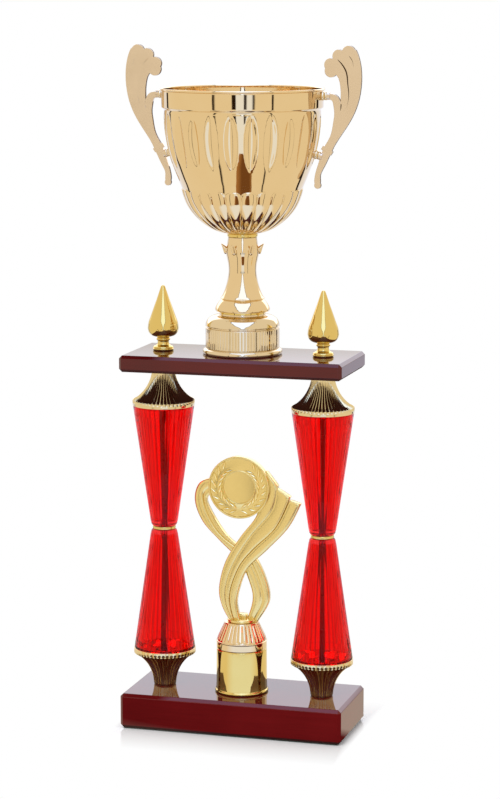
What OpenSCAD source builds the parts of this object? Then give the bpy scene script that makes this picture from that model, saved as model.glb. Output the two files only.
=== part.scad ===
// Column cup trophy. A two-handled cup stands on a board that two columns carry, and a medal-holder
// figure stands between the columns. Each column is clamped by a tie rod: a nut under the base pulls
// against the finial on top. Millimetres, +Z up, front towards -Y, origin in the middle of the underside.

/* [Base] */
// Distance from a column's axis to the end of the base block
base_end_margin = 26; // [22:0.5:40]
// Depth of the base block, front to back
base_depth = 82; // [74:1:110]
// Height of the base block
base_height = 28.5; // [24:0.5:40]
// Chamfer along the top edges of the base block
base_chamfer = 2.5; // [1:0.1:4]
// Thickness of the felt sheet under the base
felt_thickness = 0.8; // [0.5:0.1:2]
// Distance of the felt's edge from the base's edge
felt_margin = 2.5; // [1:0.5:6]

/* [Upper board] */
// Distance from a column's axis to the end of the board
board_end_margin = 25; // [22:0.5:40]
// Depth of the board, front to back
board_depth = 82; // [74:1:110]
// Thickness of the board
board_thickness = 13.5; // [12:0.5:20]
// Chamfer along the top edges of the board
board_chamfer = 2.5; // [1:0.1:4]

/* [Columns] */
// Distance between the axes of the two columns
column_spacing = 134; // [132:1:160]
// Height of the flared end piece at each end of a column
end_height = 31.6; // [26:0.2:40]
// Diameter of the end piece where it meets the wood
end_neck_diameter = 17.5; // [15:0.5:22]
// How far the end piece's rim stands out past the cone
end_rim_reach = 0.3; // [0.1:0.1:2]
// How far the top of the flare stays inside the rim
end_shoulder = 3.4; // [2:0.2:6]
// Height of the rim
end_rim_height = 4.4; // [3:0.2:7]
// Height of the slope from the flare to the rim
end_rim_slope = 1.8; // [1:0.2:3]
// Wall of the end piece
end_wall = 2; // [1.5:0.1:3]
// Thickness of the end piece's floor, which bears on the wood
end_floor = 4; // [3:0.5:8]
// Height of the spigot that centres the cone
spigot_height = 5.5; // [3:0.5:8]
// Radial clearance of the spigot in the cone
spigot_clearance = 0.15; // [0.05:0.05:0.4]
// Length of each cone
cone_length = 99.7; // [80:0.5:130]
// Diameter of a cone at its wide end
cone_wide_diameter = 50.2; // [46:0.2:56]
// Diameter of a cone at its narrow end
cone_narrow_diameter = 21.2; // [18:0.2:23]
// Wall of a cone
cone_wall = 2.6; // [2:0.1:3.2]
// Thickness of a cone's closed narrow end
cone_floor = 4; // [3:0.5:8]
// Radial size of the chamfer on a cone's narrow end
cone_tip_chamfer = 0.9; // [0.4:0.1:1.4]
// Diameter of the ring between the two cones
waist_diameter = 19.2; // [14:0.2:22]
// Height of the ring between the two cones
waist_height = 3; // [2:0.2:6]

/* [Finials] */
// Diameter of the collar that bears on the board
finial_collar_diameter = 17.2; // [15:0.2:22]
// Height of the collar
finial_collar_height = 3.3; // [2:0.1:5]
// Diameter of the neck between the collar and the bulb
finial_neck_diameter = 9.4; // [8.6:0.2:12]
// Height of the slope at each end of the neck
finial_ring_height = 2.6; // [2:0.1:4]
// How far those slopes stand out from the neck
finial_ring_reach = 0.8; // [0.4:0.1:1.4]
// Length of the straight neck between the slopes
finial_neck_length = 2.7; // [1:0.1:6]
// Largest diameter of the bulb
finial_bulb_diameter = 25.4; // [22:0.2:32]
// Height of the bulb's underside, up to its largest diameter
finial_underside_height = 7.3; // [6:0.1:10]
// Height of the spire above the bulb's largest diameter
finial_spire_height = 34.5; // [28:0.5:48]
// Diameter of the blunt tip
finial_tip_diameter = 2.2; // [1:0.2:4]
// Length of tie rod that is screwed into the finial
finial_grip = 22; // [14:1:28]

/* [Cup foot and stem] */
// Diameter of the drum
cup_drum_diameter = 60.2; // [54:0.2:72]
// How far the flange on the board stands out from the drum
cup_flange_reach = 2; // [1:0.1:5]
// Height of the flange
cup_flange_height = 4.6; // [3:0.2:8]
// Height of the drum above the flange
cup_drum_height = 19; // [14:0.2:26]
// Height of the dome above the drum
cup_dome_height = 8; // [6:0.2:14]
// Diameter of the seat for the stem on top of the dome
cup_seat_diameter = 37; // [32:0.5:44]
// Height of the seat above the dome
cup_seat_rise = 1.4; // [0.8:0.1:2.4]
// Wall of the foot
cup_foot_wall = 2.2; // [1.6:0.1:3]
// Diameter of the stem's ledge
stem_ledge_diameter = 44.4; // [40:0.2:52]
// Height of the ledge's widest line above the seat
stem_ledge_rise = 2.5; // [1.5:0.1:4]
// How far the ledge draws in below its widest line
stem_ledge_undercut = 1; // [0.4:0.1:2]
// Height of the ledge, from the seat to the crease
stem_ledge_height = 11; // [8:0.2:16]
// Diameter of the stem at the crease
stem_crease_diameter = 34.6; // [30:0.2:38]
// Height of the flare, from the crease to the waist
stem_flare_height = 23.5; // [18:0.5:32]
// Diameter of the stem's waist
stem_waist_diameter = 22.4; // [18:0.2:25]
// Height of the swelling, from the waist to the leaves
stem_swell_height = 12.5; // [10:0.5:18]
// Diameter of the stem at the leaves
stem_swell_diameter = 26.4; // [24:0.2:32]
// Height of the stem above the middle of the leaves
stem_top_height = 13.8; // [10:0.2:20]
// Diameter of the stem's top
stem_top_diameter = 23.4; // [20:0.2:26]
// Number of leaves around the stem
leaf_count = 6; // [4:1:8]
// Direction of the first leaf, in degrees from +X
leaf_direction = 16; // [0:1:60]
// How far the leaf tips stand out from the stem at the leaves
leaf_reach = 4.6; // [3:0.2:8]
// Height of a leaf
leaf_height = 12.7; // [9:0.1:16]
// Width of a leaf
leaf_width = 5; // [3:0.2:7]
// Thickness of a leaf at its tip
leaf_tip_thickness = 0.8; // [0.6:0.1:1.5]
// Diameter of the collar under the bowl
collar_diameter = 24.6; // [22:0.2:30]
// Height of the collar under the bowl
collar_height = 3.6; // [2:0.2:6]

/* [Bowl] */
// Diameter of the bowl's flat floor
bowl_floor_diameter = 27; // [24:0.5:32]
// Height of the lobed lower part of the bowl
bowl_lobe_height = 33.5; // [28:0.5:40]
// Diameter where the lobes end and the side begins
bowl_lobe_diameter = 98.2; // [90:0.2:108]
// Height of the side, from the lobes to the step below the band
bowl_side_height = 63.9; // [56:0.1:80]
// Diameter of the side just below the step
bowl_side_diameter = 125.2; // [116:0.2:140]
// How far the plain band stands out from the side
bowl_band_step = 1.8; // [1:0.1:3]
// Height of the band, from the step to the rim's top
bowl_band_height = 17.6; // [14:0.2:26]
// How far the rolled rim stands out from the band
rim_reach = 1.1; // [0.6:0.1:2]
// Height of the rolled rim
rim_height = 2.2; // [1.4:0.1:2.4]
// Thickness of the bowl's sheet
bowl_wall = 1.2; // [0.8:0.1:1.8]

/* [Handles] */
// Thickness of the handle plates
handle_thickness = 3; // [2.4:0.1:5]
// How far the handles reach out from the bowl's band
handle_spread = 32.8; // [30:0.2:42]
// Height of the handles' tops above the rim
handle_rise = 33.6; // [28:0.2:44]
// Distance of the upper fixing below the rim's top
upper_fixing_drop = 5.8; // [5.4:0.1:9]
// Height of the lower fixing above the lobes
lower_fixing_rise = 30.1; // [26:0.1:36]
// Diameter of the bosses that meet the bowl
boss_diameter = 6; // [5.4:0.2:8]
// Distance of the upper boss's outer end from the bowl's wall
upper_boss_length = 7.5; // [7:0.1:9]
// Distance of the lower boss's outer end from the bowl's wall
lower_boss_length = 8; // [7.5:0.1:10]
// Diameter of the handle screws
handle_screw_diameter = 3; // [2:0.5:3.5]
// Length of screw inside a boss
handle_screw_grip = 5; // [3:0.5:6]
// Diameter of a handle screw's head
handle_screw_head_diameter = 5.6; // [5:0.2:7]
// Height of a handle screw's head
handle_screw_head_height = 1.6; // [1:0.2:2.4]
// Room for a screw's head over the curve of the bowl's wall
screw_seat_gap = 0.15; // [0.05:0.05:0.3]
// Depth of a boss's screw hole past the screw's end
screw_spare = 0.5; // [0.2:0.1:1]

/* [Figure] */
// Distance of the figure's axis in front of the middle
figure_forward = 2.8; // [0:0.2:12]
// Diameter of the riser
riser_diameter = 41.2; // [38:0.2:52]
// Height of the riser
riser_height = 33.3; // [26:0.5:40]
// How far the lip around the riser's foot stands out
riser_lip_reach = 1.3; // [0.6:0.1:4]
// Height of the lip
riser_lip_height = 3.2; // [2:0.2:6]
// Wall of the riser
riser_wall = 2; // [1.4:0.1:3]
// Thickness of the riser's top
riser_top_thickness = 3; // [2:0.5:5]
// How far the neck piece stays inside the riser's edge
neck_setback = 0.1; // [0:0.1:2]
// Height of the neck's plain band
neck_band_height = 6.8; // [4:0.2:10]
// Size of the shoulder above the band
neck_shoulder = 1.6; // [0.6:0.1:3]
// Height of the neck above its shoulder
neck_cone_height = 14.6; // [12:0.2:22]
// Diameter of the neck at its top
neck_top_diameter = 27; // [24:0.2:34]
// How far the figure's foot plate stays inside the neck's top edge
figure_foot_setback = 0.8; // [0.2:0.1:2]
// Height of the figure's foot plate
figure_foot_height = 4; // [3:0.2:7]
// Diameter of the spigot under the figure
figure_spigot_diameter = 14; // [12:0.5:17]
// Length of the spigot under the figure
figure_spigot_length = 11.5; // [8:0.5:14]
// Radial clearance of that spigot in the neck
figure_spigot_clearance = 0.15; // [0.05:0.05:0.4]
// Room under that spigot in its socket
socket_spare = 0.5; // [0.2:0.1:2]
// Distance of the figure's rod from the end of its spigot's thread
figure_rod_spare = 3; // [1:0.5:6]
// Height of the medal's centre above the figure's foot
medal_level = 114.7; // [104:0.1:126]
// Diameter of the medal
medal_diameter = 51; // [46:0.2:58]
// Thickness of the medal
medal_thickness = 7; // [5:0.2:9]
// Diameter of the recess for a 25 mm printed centre
recess_diameter = 26; // [25.2:0.2:34]
// Depth of the recess
recess_depth = 0.9; // [0.5:0.1:2]
// Width of the raised edge around the medal
medal_edge_width = 1.8; // [1:0.1:3]
// Height of the raised edge
medal_edge_height = 0.8; // [0.4:0.1:1.5]
// Distance of the ribbon tails' tips from the figure's axis
ribbon_reach = 50.8; // [40:0.2:51.6]
// How far the medal stands in front of the ribbon
medal_stand = 4; // [2:0.2:6]
// Thickness of each of the two ribbons
ribbon_thickness = 6.2; // [5:0.2:8]
// Depth that the front ribbon and the back ribbon share where they cross
ribbon_overlap = 1.2; // [0.6:0.1:2]
// Thickness of the raised strand on the front ribbon
strand_rise = 0.8; // [0.4:0.1:1.4]

/* [Fasteners] */
// Diameter of the two tie rods and of the figure's rod
rod_diameter = 5; // [4:0.5:5.5]
// Diameter of the cup's rod
cup_rod_diameter = 6; // [5:0.5:6.5]
// Radial clearance of a rod in a plain hole
hole_clearance = 0.25; // [0.1:0.05:0.5]
// Radial clearance between a rod and the thread that it runs in
thread_clearance = 0.05; // [0.02:0.01:0.1]
// Nut for the tie rods and the figure's rod, across the flats
nut_flats = 8; // [7:0.5:10]
// Height of that nut
nut_height = 4; // [3:0.2:5]
// Diameter of the washers under those nuts
washer_diameter = 15; // [12:0.5:18]
// Thickness of those washers
washer_thickness = 1.2; // [0.8:0.1:2]
// Nut for the cup's rod, across the flats
cup_nut_flats = 10; // [8.5:0.5:12]
// Height of the cup's nuts
cup_nut_height = 4.4; // [3:0.2:5]
// Diameter of the cup's washers
cup_washer_diameter = 18; // [14:0.5:20]
// Thickness of the cup's washers
cup_washer_thickness = 1.2; // [0.8:0.1:1.6]
// Length of rod that stands out past a nut
rod_overhang = 1.2; // [0.6:0.2:2]
// Radial room around a washer in its counterbore
counterbore_room = 1.5; // [1:0.1:3]
// Distance of a rod's hidden end from the counterbore's mouth
counterbore_spare = 0.8; // [0.4:0.1:3]

/* [Hidden] */

$fn = 96;
// Spans of each curve between two of its knots
curve_steps = 6;
// Small overlap that lets a cut pass right through a face
cut = 1;
left = -1;
right = 1;

wood = "#5a1a1a";
champagne = "#e6cfa2";
yellow_gold = "#d9b24a";
satin_gold = "#d8bf6e";
red_plastic = [0.9, 0.05, 0.08, 0.75];
steel = "#9a9a9c";
felt_green = "#1d2b22";

base_width = column_spacing + 2 * base_end_margin;
board_width = column_spacing + 2 * board_end_margin;
cup_foot_height = cup_flange_height + cup_drum_height + cup_dome_height + cup_seat_rise;
stem_height = stem_ledge_height + stem_flare_height + stem_swell_height + stem_top_height;
bowl_band_level = bowl_lobe_height + bowl_side_height;
bowl_height = bowl_band_level + bowl_band_height;
band_r = bowl_side_diameter / 2 + bowl_band_step;
upper_fixing_level = bowl_height - upper_fixing_drop;
lower_fixing_level = bowl_lobe_height + lower_fixing_rise;
neck_height = neck_band_height + neck_shoulder + neck_cone_height;

base_bottom = felt_thickness;
base_top = base_bottom + base_height;
lower_cone_bottom = base_top + end_height;
waist_bottom = lower_cone_bottom + cone_length;
upper_cone_bottom = waist_bottom + waist_height;
cap_bottom = upper_cone_bottom + cone_length;
board_bottom = cap_bottom + end_height;
board_top = board_bottom + board_thickness;
stem_bottom = board_top + cup_foot_height;
collar_bottom = stem_bottom + stem_height;
bowl_bottom = collar_bottom + collar_height;
neck_bottom = base_top + riser_height;
figure_bottom = neck_bottom + neck_height;
column_x = column_spacing / 2;

rod_r = rod_diameter / 2;
rod_hole_r = rod_r + hole_clearance;
rod_thread_r = rod_r + thread_clearance;
cup_rod_r = cup_rod_diameter / 2;
cup_rod_hole_r = cup_rod_r + hole_clearance;
cup_rod_thread_r = cup_rod_r + thread_clearance;
counterbore_depth = washer_thickness + nut_height + rod_overhang + counterbore_spare;
cup_counterbore_depth = cup_washer_thickness + cup_nut_height + rod_overhang + counterbore_spare;
rod_end = base_bottom + counterbore_spare;
cup_rod_end = board_bottom + counterbore_spare;
cup_rod_top = bowl_bottom + bowl_wall + cup_washer_thickness + cup_nut_height + rod_overhang;

// Points along a cubic curve from a to d, drawn towards b and c
function bezier(a, b, c, d) =
    [for (i = [0:curve_steps * 2]) let (t = i / (curve_steps * 2), u = 1 - t)
        u * u * u * a + 3 * u * u * t * b + 3 * u * t * t * c + t * t * t * d];

// One span of a smooth curve through knots, from q to r
function span_point(p, q, r, s, t) =
    0.5 * (2 * q + t * (r - p) + t * t * (2 * p - 5 * q + 4 * r - s) + t * t * t * (3 * q - p - 3 * r + s));

// Points of a smooth curve that passes through every knot of the list
function through(knots) = let (last = len(knots) - 1) concat(
    [for (k = [0:last - 1]) for (i = [0:curve_steps - 1])
        span_point(knots[max(k - 1, 0)], knots[k], knots[k + 1], knots[min(k + 2, last)], i / curve_steps)],
    [knots[last]]);

function backwards(points) = [for (i = [len(points) - 1:-1:0]) points[i]];
function after_first(points) = [for (i = [1:len(points) - 1]) points[i]];

module tube(outer_r, inner_r, height) {
    difference() {
        cylinder(r = outer_r, h = height);
        translate([0, 0, -cut]) cylinder(r = inner_r, h = height + 2 * cut);
    }
}

module hex_nut(flats, bore_r, height) {
    difference() {
        cylinder(d = flats / cos(30), h = height, $fn = 6);
        translate([0, 0, -cut]) cylinder(r = bore_r, h = height + 2 * cut);
    }
}

// A board with its four top edges chamfered, standing on z = 0
module chamfered_board(width, depth, height, chamfer) {
    difference() {
        translate([-width / 2, -depth / 2, 0]) cube([width, depth, height]);
        for (side = [left, right]) {
            translate([side * width / 2, 0, height]) edge_cut(depth, chamfer, side);
            translate([0, side * depth / 2, height]) rotate([0, 0, 90]) edge_cut(width, chamfer, side);
        }
    }
}

// A triangular bar along Y that takes a chamfer off an edge at the origin
module edge_cut(length, chamfer, side) {
    reach = chamfer + cut;
    rotate([90, 0, 0]) translate([0, 0, -length / 2 - cut]) linear_extrude(length + 2 * cut)
        polygon([[side * cut, -reach], [side * cut, cut], [-side * reach, cut]]);
}

// A hole for a rod, with a counterbore of the given radius and depth at its lower end
module counterbored_hole(hole_r, bore_r, bore_depth, height) {
    translate([0, 0, -cut]) cylinder(r = hole_r, h = height + 2 * cut);
    translate([0, 0, -cut]) cylinder(r = bore_r, h = bore_depth + cut);
}

module base_block() {
    bore_r = washer_diameter / 2 + counterbore_room;
    color(wood) translate([0, 0, base_bottom]) difference() {
        chamfered_board(base_width, base_depth, base_height, base_chamfer);
        for (side = [left, right]) translate([side * column_x, 0, 0])
            counterbored_hole(rod_hole_r, bore_r, counterbore_depth, base_height);
        translate([0, -figure_forward, 0])
            counterbored_hole(rod_hole_r, bore_r, counterbore_depth, base_height);
    }
}

module base_felt() {
    color(felt_green) translate([felt_margin - base_width / 2, felt_margin - base_depth / 2, 0])
        cube([base_width - 2 * felt_margin, base_depth - 2 * felt_margin, felt_thickness]);
}

module upper_board() {
    bore_r = cup_washer_diameter / 2 + counterbore_room;
    color(wood) translate([0, 0, board_bottom]) difference() {
        chamfered_board(board_width, board_depth, board_thickness, board_chamfer);
        for (side = [left, right]) translate([side * column_x, 0, -cut])
            cylinder(r = rod_hole_r, h = board_thickness + 2 * cut);
        counterbored_hole(cup_rod_hole_r, bore_r, cup_counterbore_depth, board_thickness);
    }
}

// Washer and nut of a rod that is pulled up against a counterbore's ceiling
module lower_washer() {
    translate([0, 0, base_bottom + counterbore_depth - washer_thickness])
        tube(washer_diameter / 2, rod_hole_r, washer_thickness);
}

module lower_nut() {
    translate([0, 0, base_bottom + counterbore_depth - washer_thickness - nut_height])
        hex_nut(nut_flats, rod_thread_r, nut_height);
}

module tie_rod_washers() {
    color(steel) for (side = [left, right]) translate([side * column_x, 0, 0]) lower_washer();
}

module tie_rod_nuts() {
    color(steel) for (side = [left, right]) translate([side * column_x, 0, 0]) lower_nut();
}

module tie_rod(side) {
    color(steel) translate([side * column_x, 0, rod_end])
        cylinder(r = rod_r, h = board_top + finial_grip - rod_end);
}

// Flared end piece of a column, its floor on z = 0 and its spigot upwards
module column_end() {
    neck_r = end_neck_diameter / 2;
    rim_r = cone_wide_diameter / 2 + end_rim_reach;
    flare_r = rim_r - end_shoulder;
    spigot_r = cone_wide_diameter / 2 - cone_wall - spigot_clearance;
    flare_height = end_height - end_rim_height - end_rim_slope;
    run = flare_r - neck_r;
    // The flare is an arc that leaves the floor upright
    bend = (flare_height * flare_height + run * run) / (2 * run);
    inner_bend = bend + end_wall;
    turn = asin(flare_height / bend);
    inner_start = asin(end_floor / inner_bend);
    inner_turn = asin(flare_height / inner_bend);
    outer = [for (i = [0:curve_steps * 2]) let (a = turn * i / (curve_steps * 2))
        [neck_r + bend - bend * cos(a), bend * sin(a)]];
    inner = [for (i = [0:curve_steps * 2])
        let (a = inner_start + (inner_turn - inner_start) * i / (curve_steps * 2))
        [neck_r + bend - inner_bend * cos(a), inner_bend * sin(a)]];
    rotate_extrude() polygon(concat(
        [[rod_hole_r, 0]], outer,
        [[rim_r, flare_height + end_rim_slope], [rim_r, end_height], [spigot_r, end_height],
         [spigot_r, end_height + spigot_height], [spigot_r - end_wall, end_height + spigot_height]],
        backwards(inner), [[rod_hole_r, end_floor]]));
}

// Hollow cone, its narrow end on z = 0, with a socket for the end piece's spigot at its wide end
module column_cone() {
    wide_r = cone_wide_diameter / 2;
    narrow_r = cone_narrow_diameter / 2;
    taper = (wide_r - narrow_r) / cone_length;
    chamfer_height = 2 * cone_tip_chamfer;
    socket_r = wide_r - cone_wall;
    socket_level = cone_length - spigot_height - end_wall;
    rotate_extrude() polygon([
        [rod_hole_r, 0], [narrow_r - cone_tip_chamfer, 0],
        [narrow_r + taper * chamfer_height, chamfer_height], [wide_r, cone_length],
        [socket_r, cone_length], [socket_r, socket_level],
        [narrow_r + taper * socket_level - cone_wall, socket_level],
        [narrow_r + taper * cone_floor - cone_wall, cone_floor], [rod_hole_r, cone_floor]]);
}

module column_foot(side) {
    color(yellow_gold) translate([side * column_x, 0, base_top]) column_end();
}

module column_cap(side) {
    color(yellow_gold) translate([side * column_x, 0, board_bottom]) mirror([0, 0, 1]) column_end();
}

module lower_cone(side) {
    color(red_plastic) translate([side * column_x, 0, waist_bottom]) mirror([0, 0, 1]) column_cone();
}

module upper_cone(side) {
    color(red_plastic) translate([side * column_x, 0, upper_cone_bottom]) column_cone();
}

module waist_ring(side) {
    color(yellow_gold) translate([side * column_x, 0, waist_bottom])
        tube(waist_diameter / 2, rod_hole_r, waist_height);
}

// Turned finial that is also the tie rod's upper nut
module finial(side) {
    neck_r = finial_neck_diameter / 2;
    ring_r = neck_r + finial_ring_reach;
    bulb_r = finial_bulb_diameter / 2;
    neck_start = finial_collar_height + finial_ring_height;
    neck_end = neck_start + finial_neck_length;
    bulb_bottom = neck_end + finial_ring_height;
    bulb_level = bulb_bottom + finial_underside_height;
    tip_level = bulb_level + finial_spire_height;
    bore_depth = finial_grip + rod_overhang;
    // The bulb rounds over until it meets the spire's straight side
    shoulder_r = 0.92 * bulb_r;
    shoulder_level = bulb_level + 0.15 * finial_spire_height;
    underside = bezier([ring_r, bulb_bottom], [0.25 * ring_r + 0.75 * bulb_r, bulb_bottom],
        [bulb_r, bulb_level - 0.55 * finial_underside_height], [bulb_r, bulb_level]);
    shoulder = bezier([bulb_r, bulb_level], [bulb_r, 0.6 * bulb_level + 0.4 * shoulder_level],
        [0.6 * shoulder_r + 0.4 * bulb_r, 0.3 * bulb_level + 0.7 * shoulder_level],
        [shoulder_r, shoulder_level]);
    color(yellow_gold) translate([side * column_x, 0, board_top]) rotate_extrude() polygon(concat(
        [[rod_thread_r, 0], [finial_collar_diameter / 2, 0],
         [finial_collar_diameter / 2, finial_collar_height], [ring_r, finial_collar_height],
         [neck_r, neck_start], [neck_r, neck_end]],
        underside, shoulder,
        [[finial_tip_diameter / 2, tip_level], [0, tip_level], [0, bore_depth], [rod_thread_r, bore_depth]]));
}

module cup_foot() {
    drum_r = cup_drum_diameter / 2;
    flange_r = drum_r + cup_flange_reach;
    seat_r = cup_seat_diameter / 2;
    drum_top = cup_flange_height + cup_drum_height;
    dome_top = drum_top + cup_dome_height;
    inner_r = drum_r - cup_foot_wall;
    dome = bezier([drum_r, drum_top], [drum_r, drum_top + 0.7 * cup_dome_height],
        [0.75 * drum_r + 0.25 * seat_r, dome_top], [seat_r, dome_top]);
    color(champagne) translate([0, 0, board_top]) rotate_extrude() polygon(concat(
        [[inner_r, 0], [flange_r, 0], [flange_r, cup_flange_height], [drum_r, cup_flange_height]], dome,
        [[seat_r, cup_foot_height], [cup_rod_hole_r, cup_foot_height],
         [cup_rod_hole_r, dome_top - cup_foot_wall], [seat_r, dome_top - cup_foot_wall],
         [inner_r, drum_top - cup_foot_wall]]));
}

module cup_stem() {
    ledge_r = stem_ledge_diameter / 2;
    crease_r = stem_crease_diameter / 2;
    waist_r = stem_waist_diameter / 2;
    swell_r = stem_swell_diameter / 2;
    top_r = stem_top_diameter / 2;
    waist_level = stem_ledge_height + stem_flare_height;
    swell_level = waist_level + stem_swell_height;
    ledge_third = (stem_ledge_height - stem_ledge_rise) / 3;
    ledge = bezier([ledge_r, stem_ledge_rise], [ledge_r, stem_ledge_rise + ledge_third],
        [(2 * crease_r + ledge_r) / 3, stem_ledge_height - ledge_third], [crease_r, stem_ledge_height]);
    flare = bezier([crease_r, stem_ledge_height],
        [0.43 * crease_r + 0.57 * waist_r, stem_ledge_height + 0.25 * stem_flare_height],
        [waist_r, waist_level - 0.5 * stem_flare_height], [waist_r, waist_level]);
    swell = bezier([waist_r, waist_level], [waist_r, waist_level + 0.5 * stem_swell_height],
        [0.4 * waist_r + 0.6 * swell_r, swell_level - 0.4 * stem_swell_height], [swell_r, swell_level]);
    leaf_root = swell_level - 0.43 * leaf_height;
    leaf_top = leaf_root + leaf_height;
    leaf_r = swell_r + leaf_reach;
    // The leaves grow out of the stem from this far inside its surface
    leaf_inner_r = min(waist_r, top_r) - leaf_tip_thickness;
    color(champagne) translate([0, 0, stem_bottom]) {
        rotate_extrude() polygon(concat(
            [[cup_rod_hole_r, 0], [ledge_r - stem_ledge_undercut, 0]], ledge, flare, swell,
            [[top_r, stem_height], [cup_rod_hole_r, stem_height]]));
        for (i = [0:leaf_count - 1]) rotate([90, 0, leaf_direction + i * 360 / leaf_count])
            translate([0, 0, -leaf_width / 2]) linear_extrude(leaf_width) polygon([
                [leaf_inner_r, leaf_root], [leaf_r, leaf_top], [leaf_r - leaf_tip_thickness, leaf_top],
                [leaf_inner_r, leaf_root + 0.7 * leaf_height]]);
    }
}

module bowl_collar() {
    color(yellow_gold) translate([0, 0, collar_bottom])
        tube(collar_diameter / 2, cup_rod_hole_r, collar_height);
}

// Outline of the bowl from its floor to the step below the band, drawn in by an amount
function bowl_side(inset) = let (
    floor_r = bowl_floor_diameter / 2,
    lobe_r = bowl_lobe_diameter / 2 - inset,
    side_r = bowl_side_diameter / 2 - inset,
    side_rise = bowl_side_height + inset) concat(
    bezier([floor_r, inset], [0.73 * floor_r + 0.27 * lobe_r, inset],
        [0.16 * floor_r + 0.84 * lobe_r, 0.33 * bowl_lobe_height + 0.67 * inset], [lobe_r, bowl_lobe_height]),
    bezier([lobe_r, bowl_lobe_height], [0.49 * lobe_r + 0.51 * side_r, bowl_lobe_height + 0.34 * side_rise],
        [side_r, bowl_lobe_height + 0.65 * side_rise], [side_r, bowl_lobe_height + side_rise]));

// Outside and inside of the bowl from its floor to its top edge
bowl_outside = concat(bowl_side(0), [[band_r, bowl_band_level + bowl_wall], [band_r, bowl_height - rim_height],
    [band_r + rim_reach, bowl_height - rim_height / 2], [band_r, bowl_height]]);
bowl_inside = concat(bowl_side(bowl_wall),
    [[band_r - bowl_wall, bowl_band_level + 2 * bowl_wall], [band_r - bowl_wall, bowl_height]]);

// The straight piece of an outline at a height, and the outline's radius there
function piece_at(outline, level) = [for (i = [0:len(outline) - 2])
    if (outline[i][1] <= level && outline[i + 1][1] > level) [outline[i], outline[i + 1]]][0];
function radius_at(outline, level) = let (piece = piece_at(outline, level), run = piece[1] - piece[0])
    piece[0][0] + run[0] * (level - piece[0][1]) / run[1];

// The bowl's outer radius at a height, its slope from upright and its thickness square to the outside
function bowl_radius(level) = radius_at(bowl_outside, level);
function bowl_slope(level) = let (piece = piece_at(bowl_outside, level), run = piece[1] - piece[0])
    atan2(run[0], run[1]);
function bowl_thickness(level) = (bowl_radius(level) - radius_at(bowl_inside, level)) * cos(bowl_slope(level));

// Turns an outline with its seam at the back, away from the handles
module turned_from_back() {
    rotate([0, 0, 90]) rotate_extrude() children();
}

module cup_bowl() {
    color(champagne) translate([0, 0, bowl_bottom]) difference() {
        turned_from_back() polygon(concat(
            [[cup_rod_hole_r, 0]], bowl_outside, backwards(bowl_inside), [[cup_rod_hole_r, bowl_wall]]));
        for (side = [left, right]) for (level = [upper_fixing_level, lower_fixing_level])
            at_fixing(side, level) translate([0, 0, -2 * bowl_wall - cut])
                cylinder(d = handle_screw_diameter + 2 * hole_clearance, h = 4 * bowl_wall + 2 * cut);
    }
}

// Places its children on the bowl's outside at a height, +Z along the wall's outward normal
module at_fixing(side, level) {
    mirror([side == left ? 1 : 0, 0, 0]) translate([bowl_radius(level), 0, level])
        rotate([0, 90 + bowl_slope(level), 0]) children();
}

// Bowl's outside as a filled solid, for shaping the bosses that meet it
module bowl_filled() {
    turned_from_back() polygon(concat([[0, 0]], bowl_outside, [[0, bowl_height]]));
}

// Flat outline of the right handle: X from the cup's axis, Y up from the bowl's floor
module handle_outline() {
    reach = band_r + handle_spread;
    top = bowl_height + handle_rise;
    low = lower_fixing_level;
    high = upper_fixing_level;
    arm_x = bowl_radius(high) + upper_boss_length;
    waist_x = bowl_radius(low) + lower_boss_length;
    // Round the plate from the scroll's back, down to the tail, up the inside and along the arm
    back = bezier([reach - 4.6, top - 3.2], [reach + 1.4, top - 14],
        [reach + 1.6, top - 34], [reach - 4.2, top - 49]);
    flank = bezier([reach - 4.2, top - 49], [reach - 9, top - 62],
        [waist_x + 12, low + 12.5], [waist_x + 8.2, low + 4]);
    tail = through([[waist_x + 8.2, low + 4], [waist_x + 2.4, low - 8], [waist_x - 1.6, low - 16],
        [waist_x - 2, low - 23], [waist_x - 6.2, low - 23.2], [waist_x - 6.2, low - 17],
        [waist_x - 3, low - 6], [waist_x + 0.8, low + 5]]);
    inside = through([[waist_x + 0.8, low + 5], [waist_x + 6.4, low + 15], [waist_x + 8.8, low + 27],
        [waist_x + 9.3, high - 13], [waist_x + 8.6, high - 7.5], [arm_x + 1.4, high - 3.4],
        [arm_x - 2.5, high - 2.4]]);
    arm = through([[arm_x - 2.5, high + 2.2], [reach - 21.6, high + 1.4], [reach - 18.6, high - 0.6],
        [reach - 16.8, high - 4]]);
    throat = through([[reach - 16.8, high - 4], [reach - 16.8, high + 5], [reach - 18.6, high + 14],
        [reach - 23, high + 19]]);
    polygon(concat(back, after_first(flank), after_first(tail), after_first(inside), arm, after_first(throat),
        [[reach - 20, top - 11], [reach - 12, top - 4]]));
    // Three lobes of the scroll
    translate([reach - 10.4, top - 5.6]) circle(r = 5.6);
    translate([reach - 18.4, top - 8.2]) circle(r = 5.2);
    translate([reach - 25, top - 15]) circle(r = 5.2);
    translate([reach - 24.6, top - 19.6]) circle(r = 5.2);
    // Knob at the tail's end
    translate([waist_x - 4, low - 24.6]) circle(r = 2.7);
    // Clasp around the waist
    translate([waist_x + 3.6, low + 3]) rotate(-32) square([9.4, 3.6], center = true);
}

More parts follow.
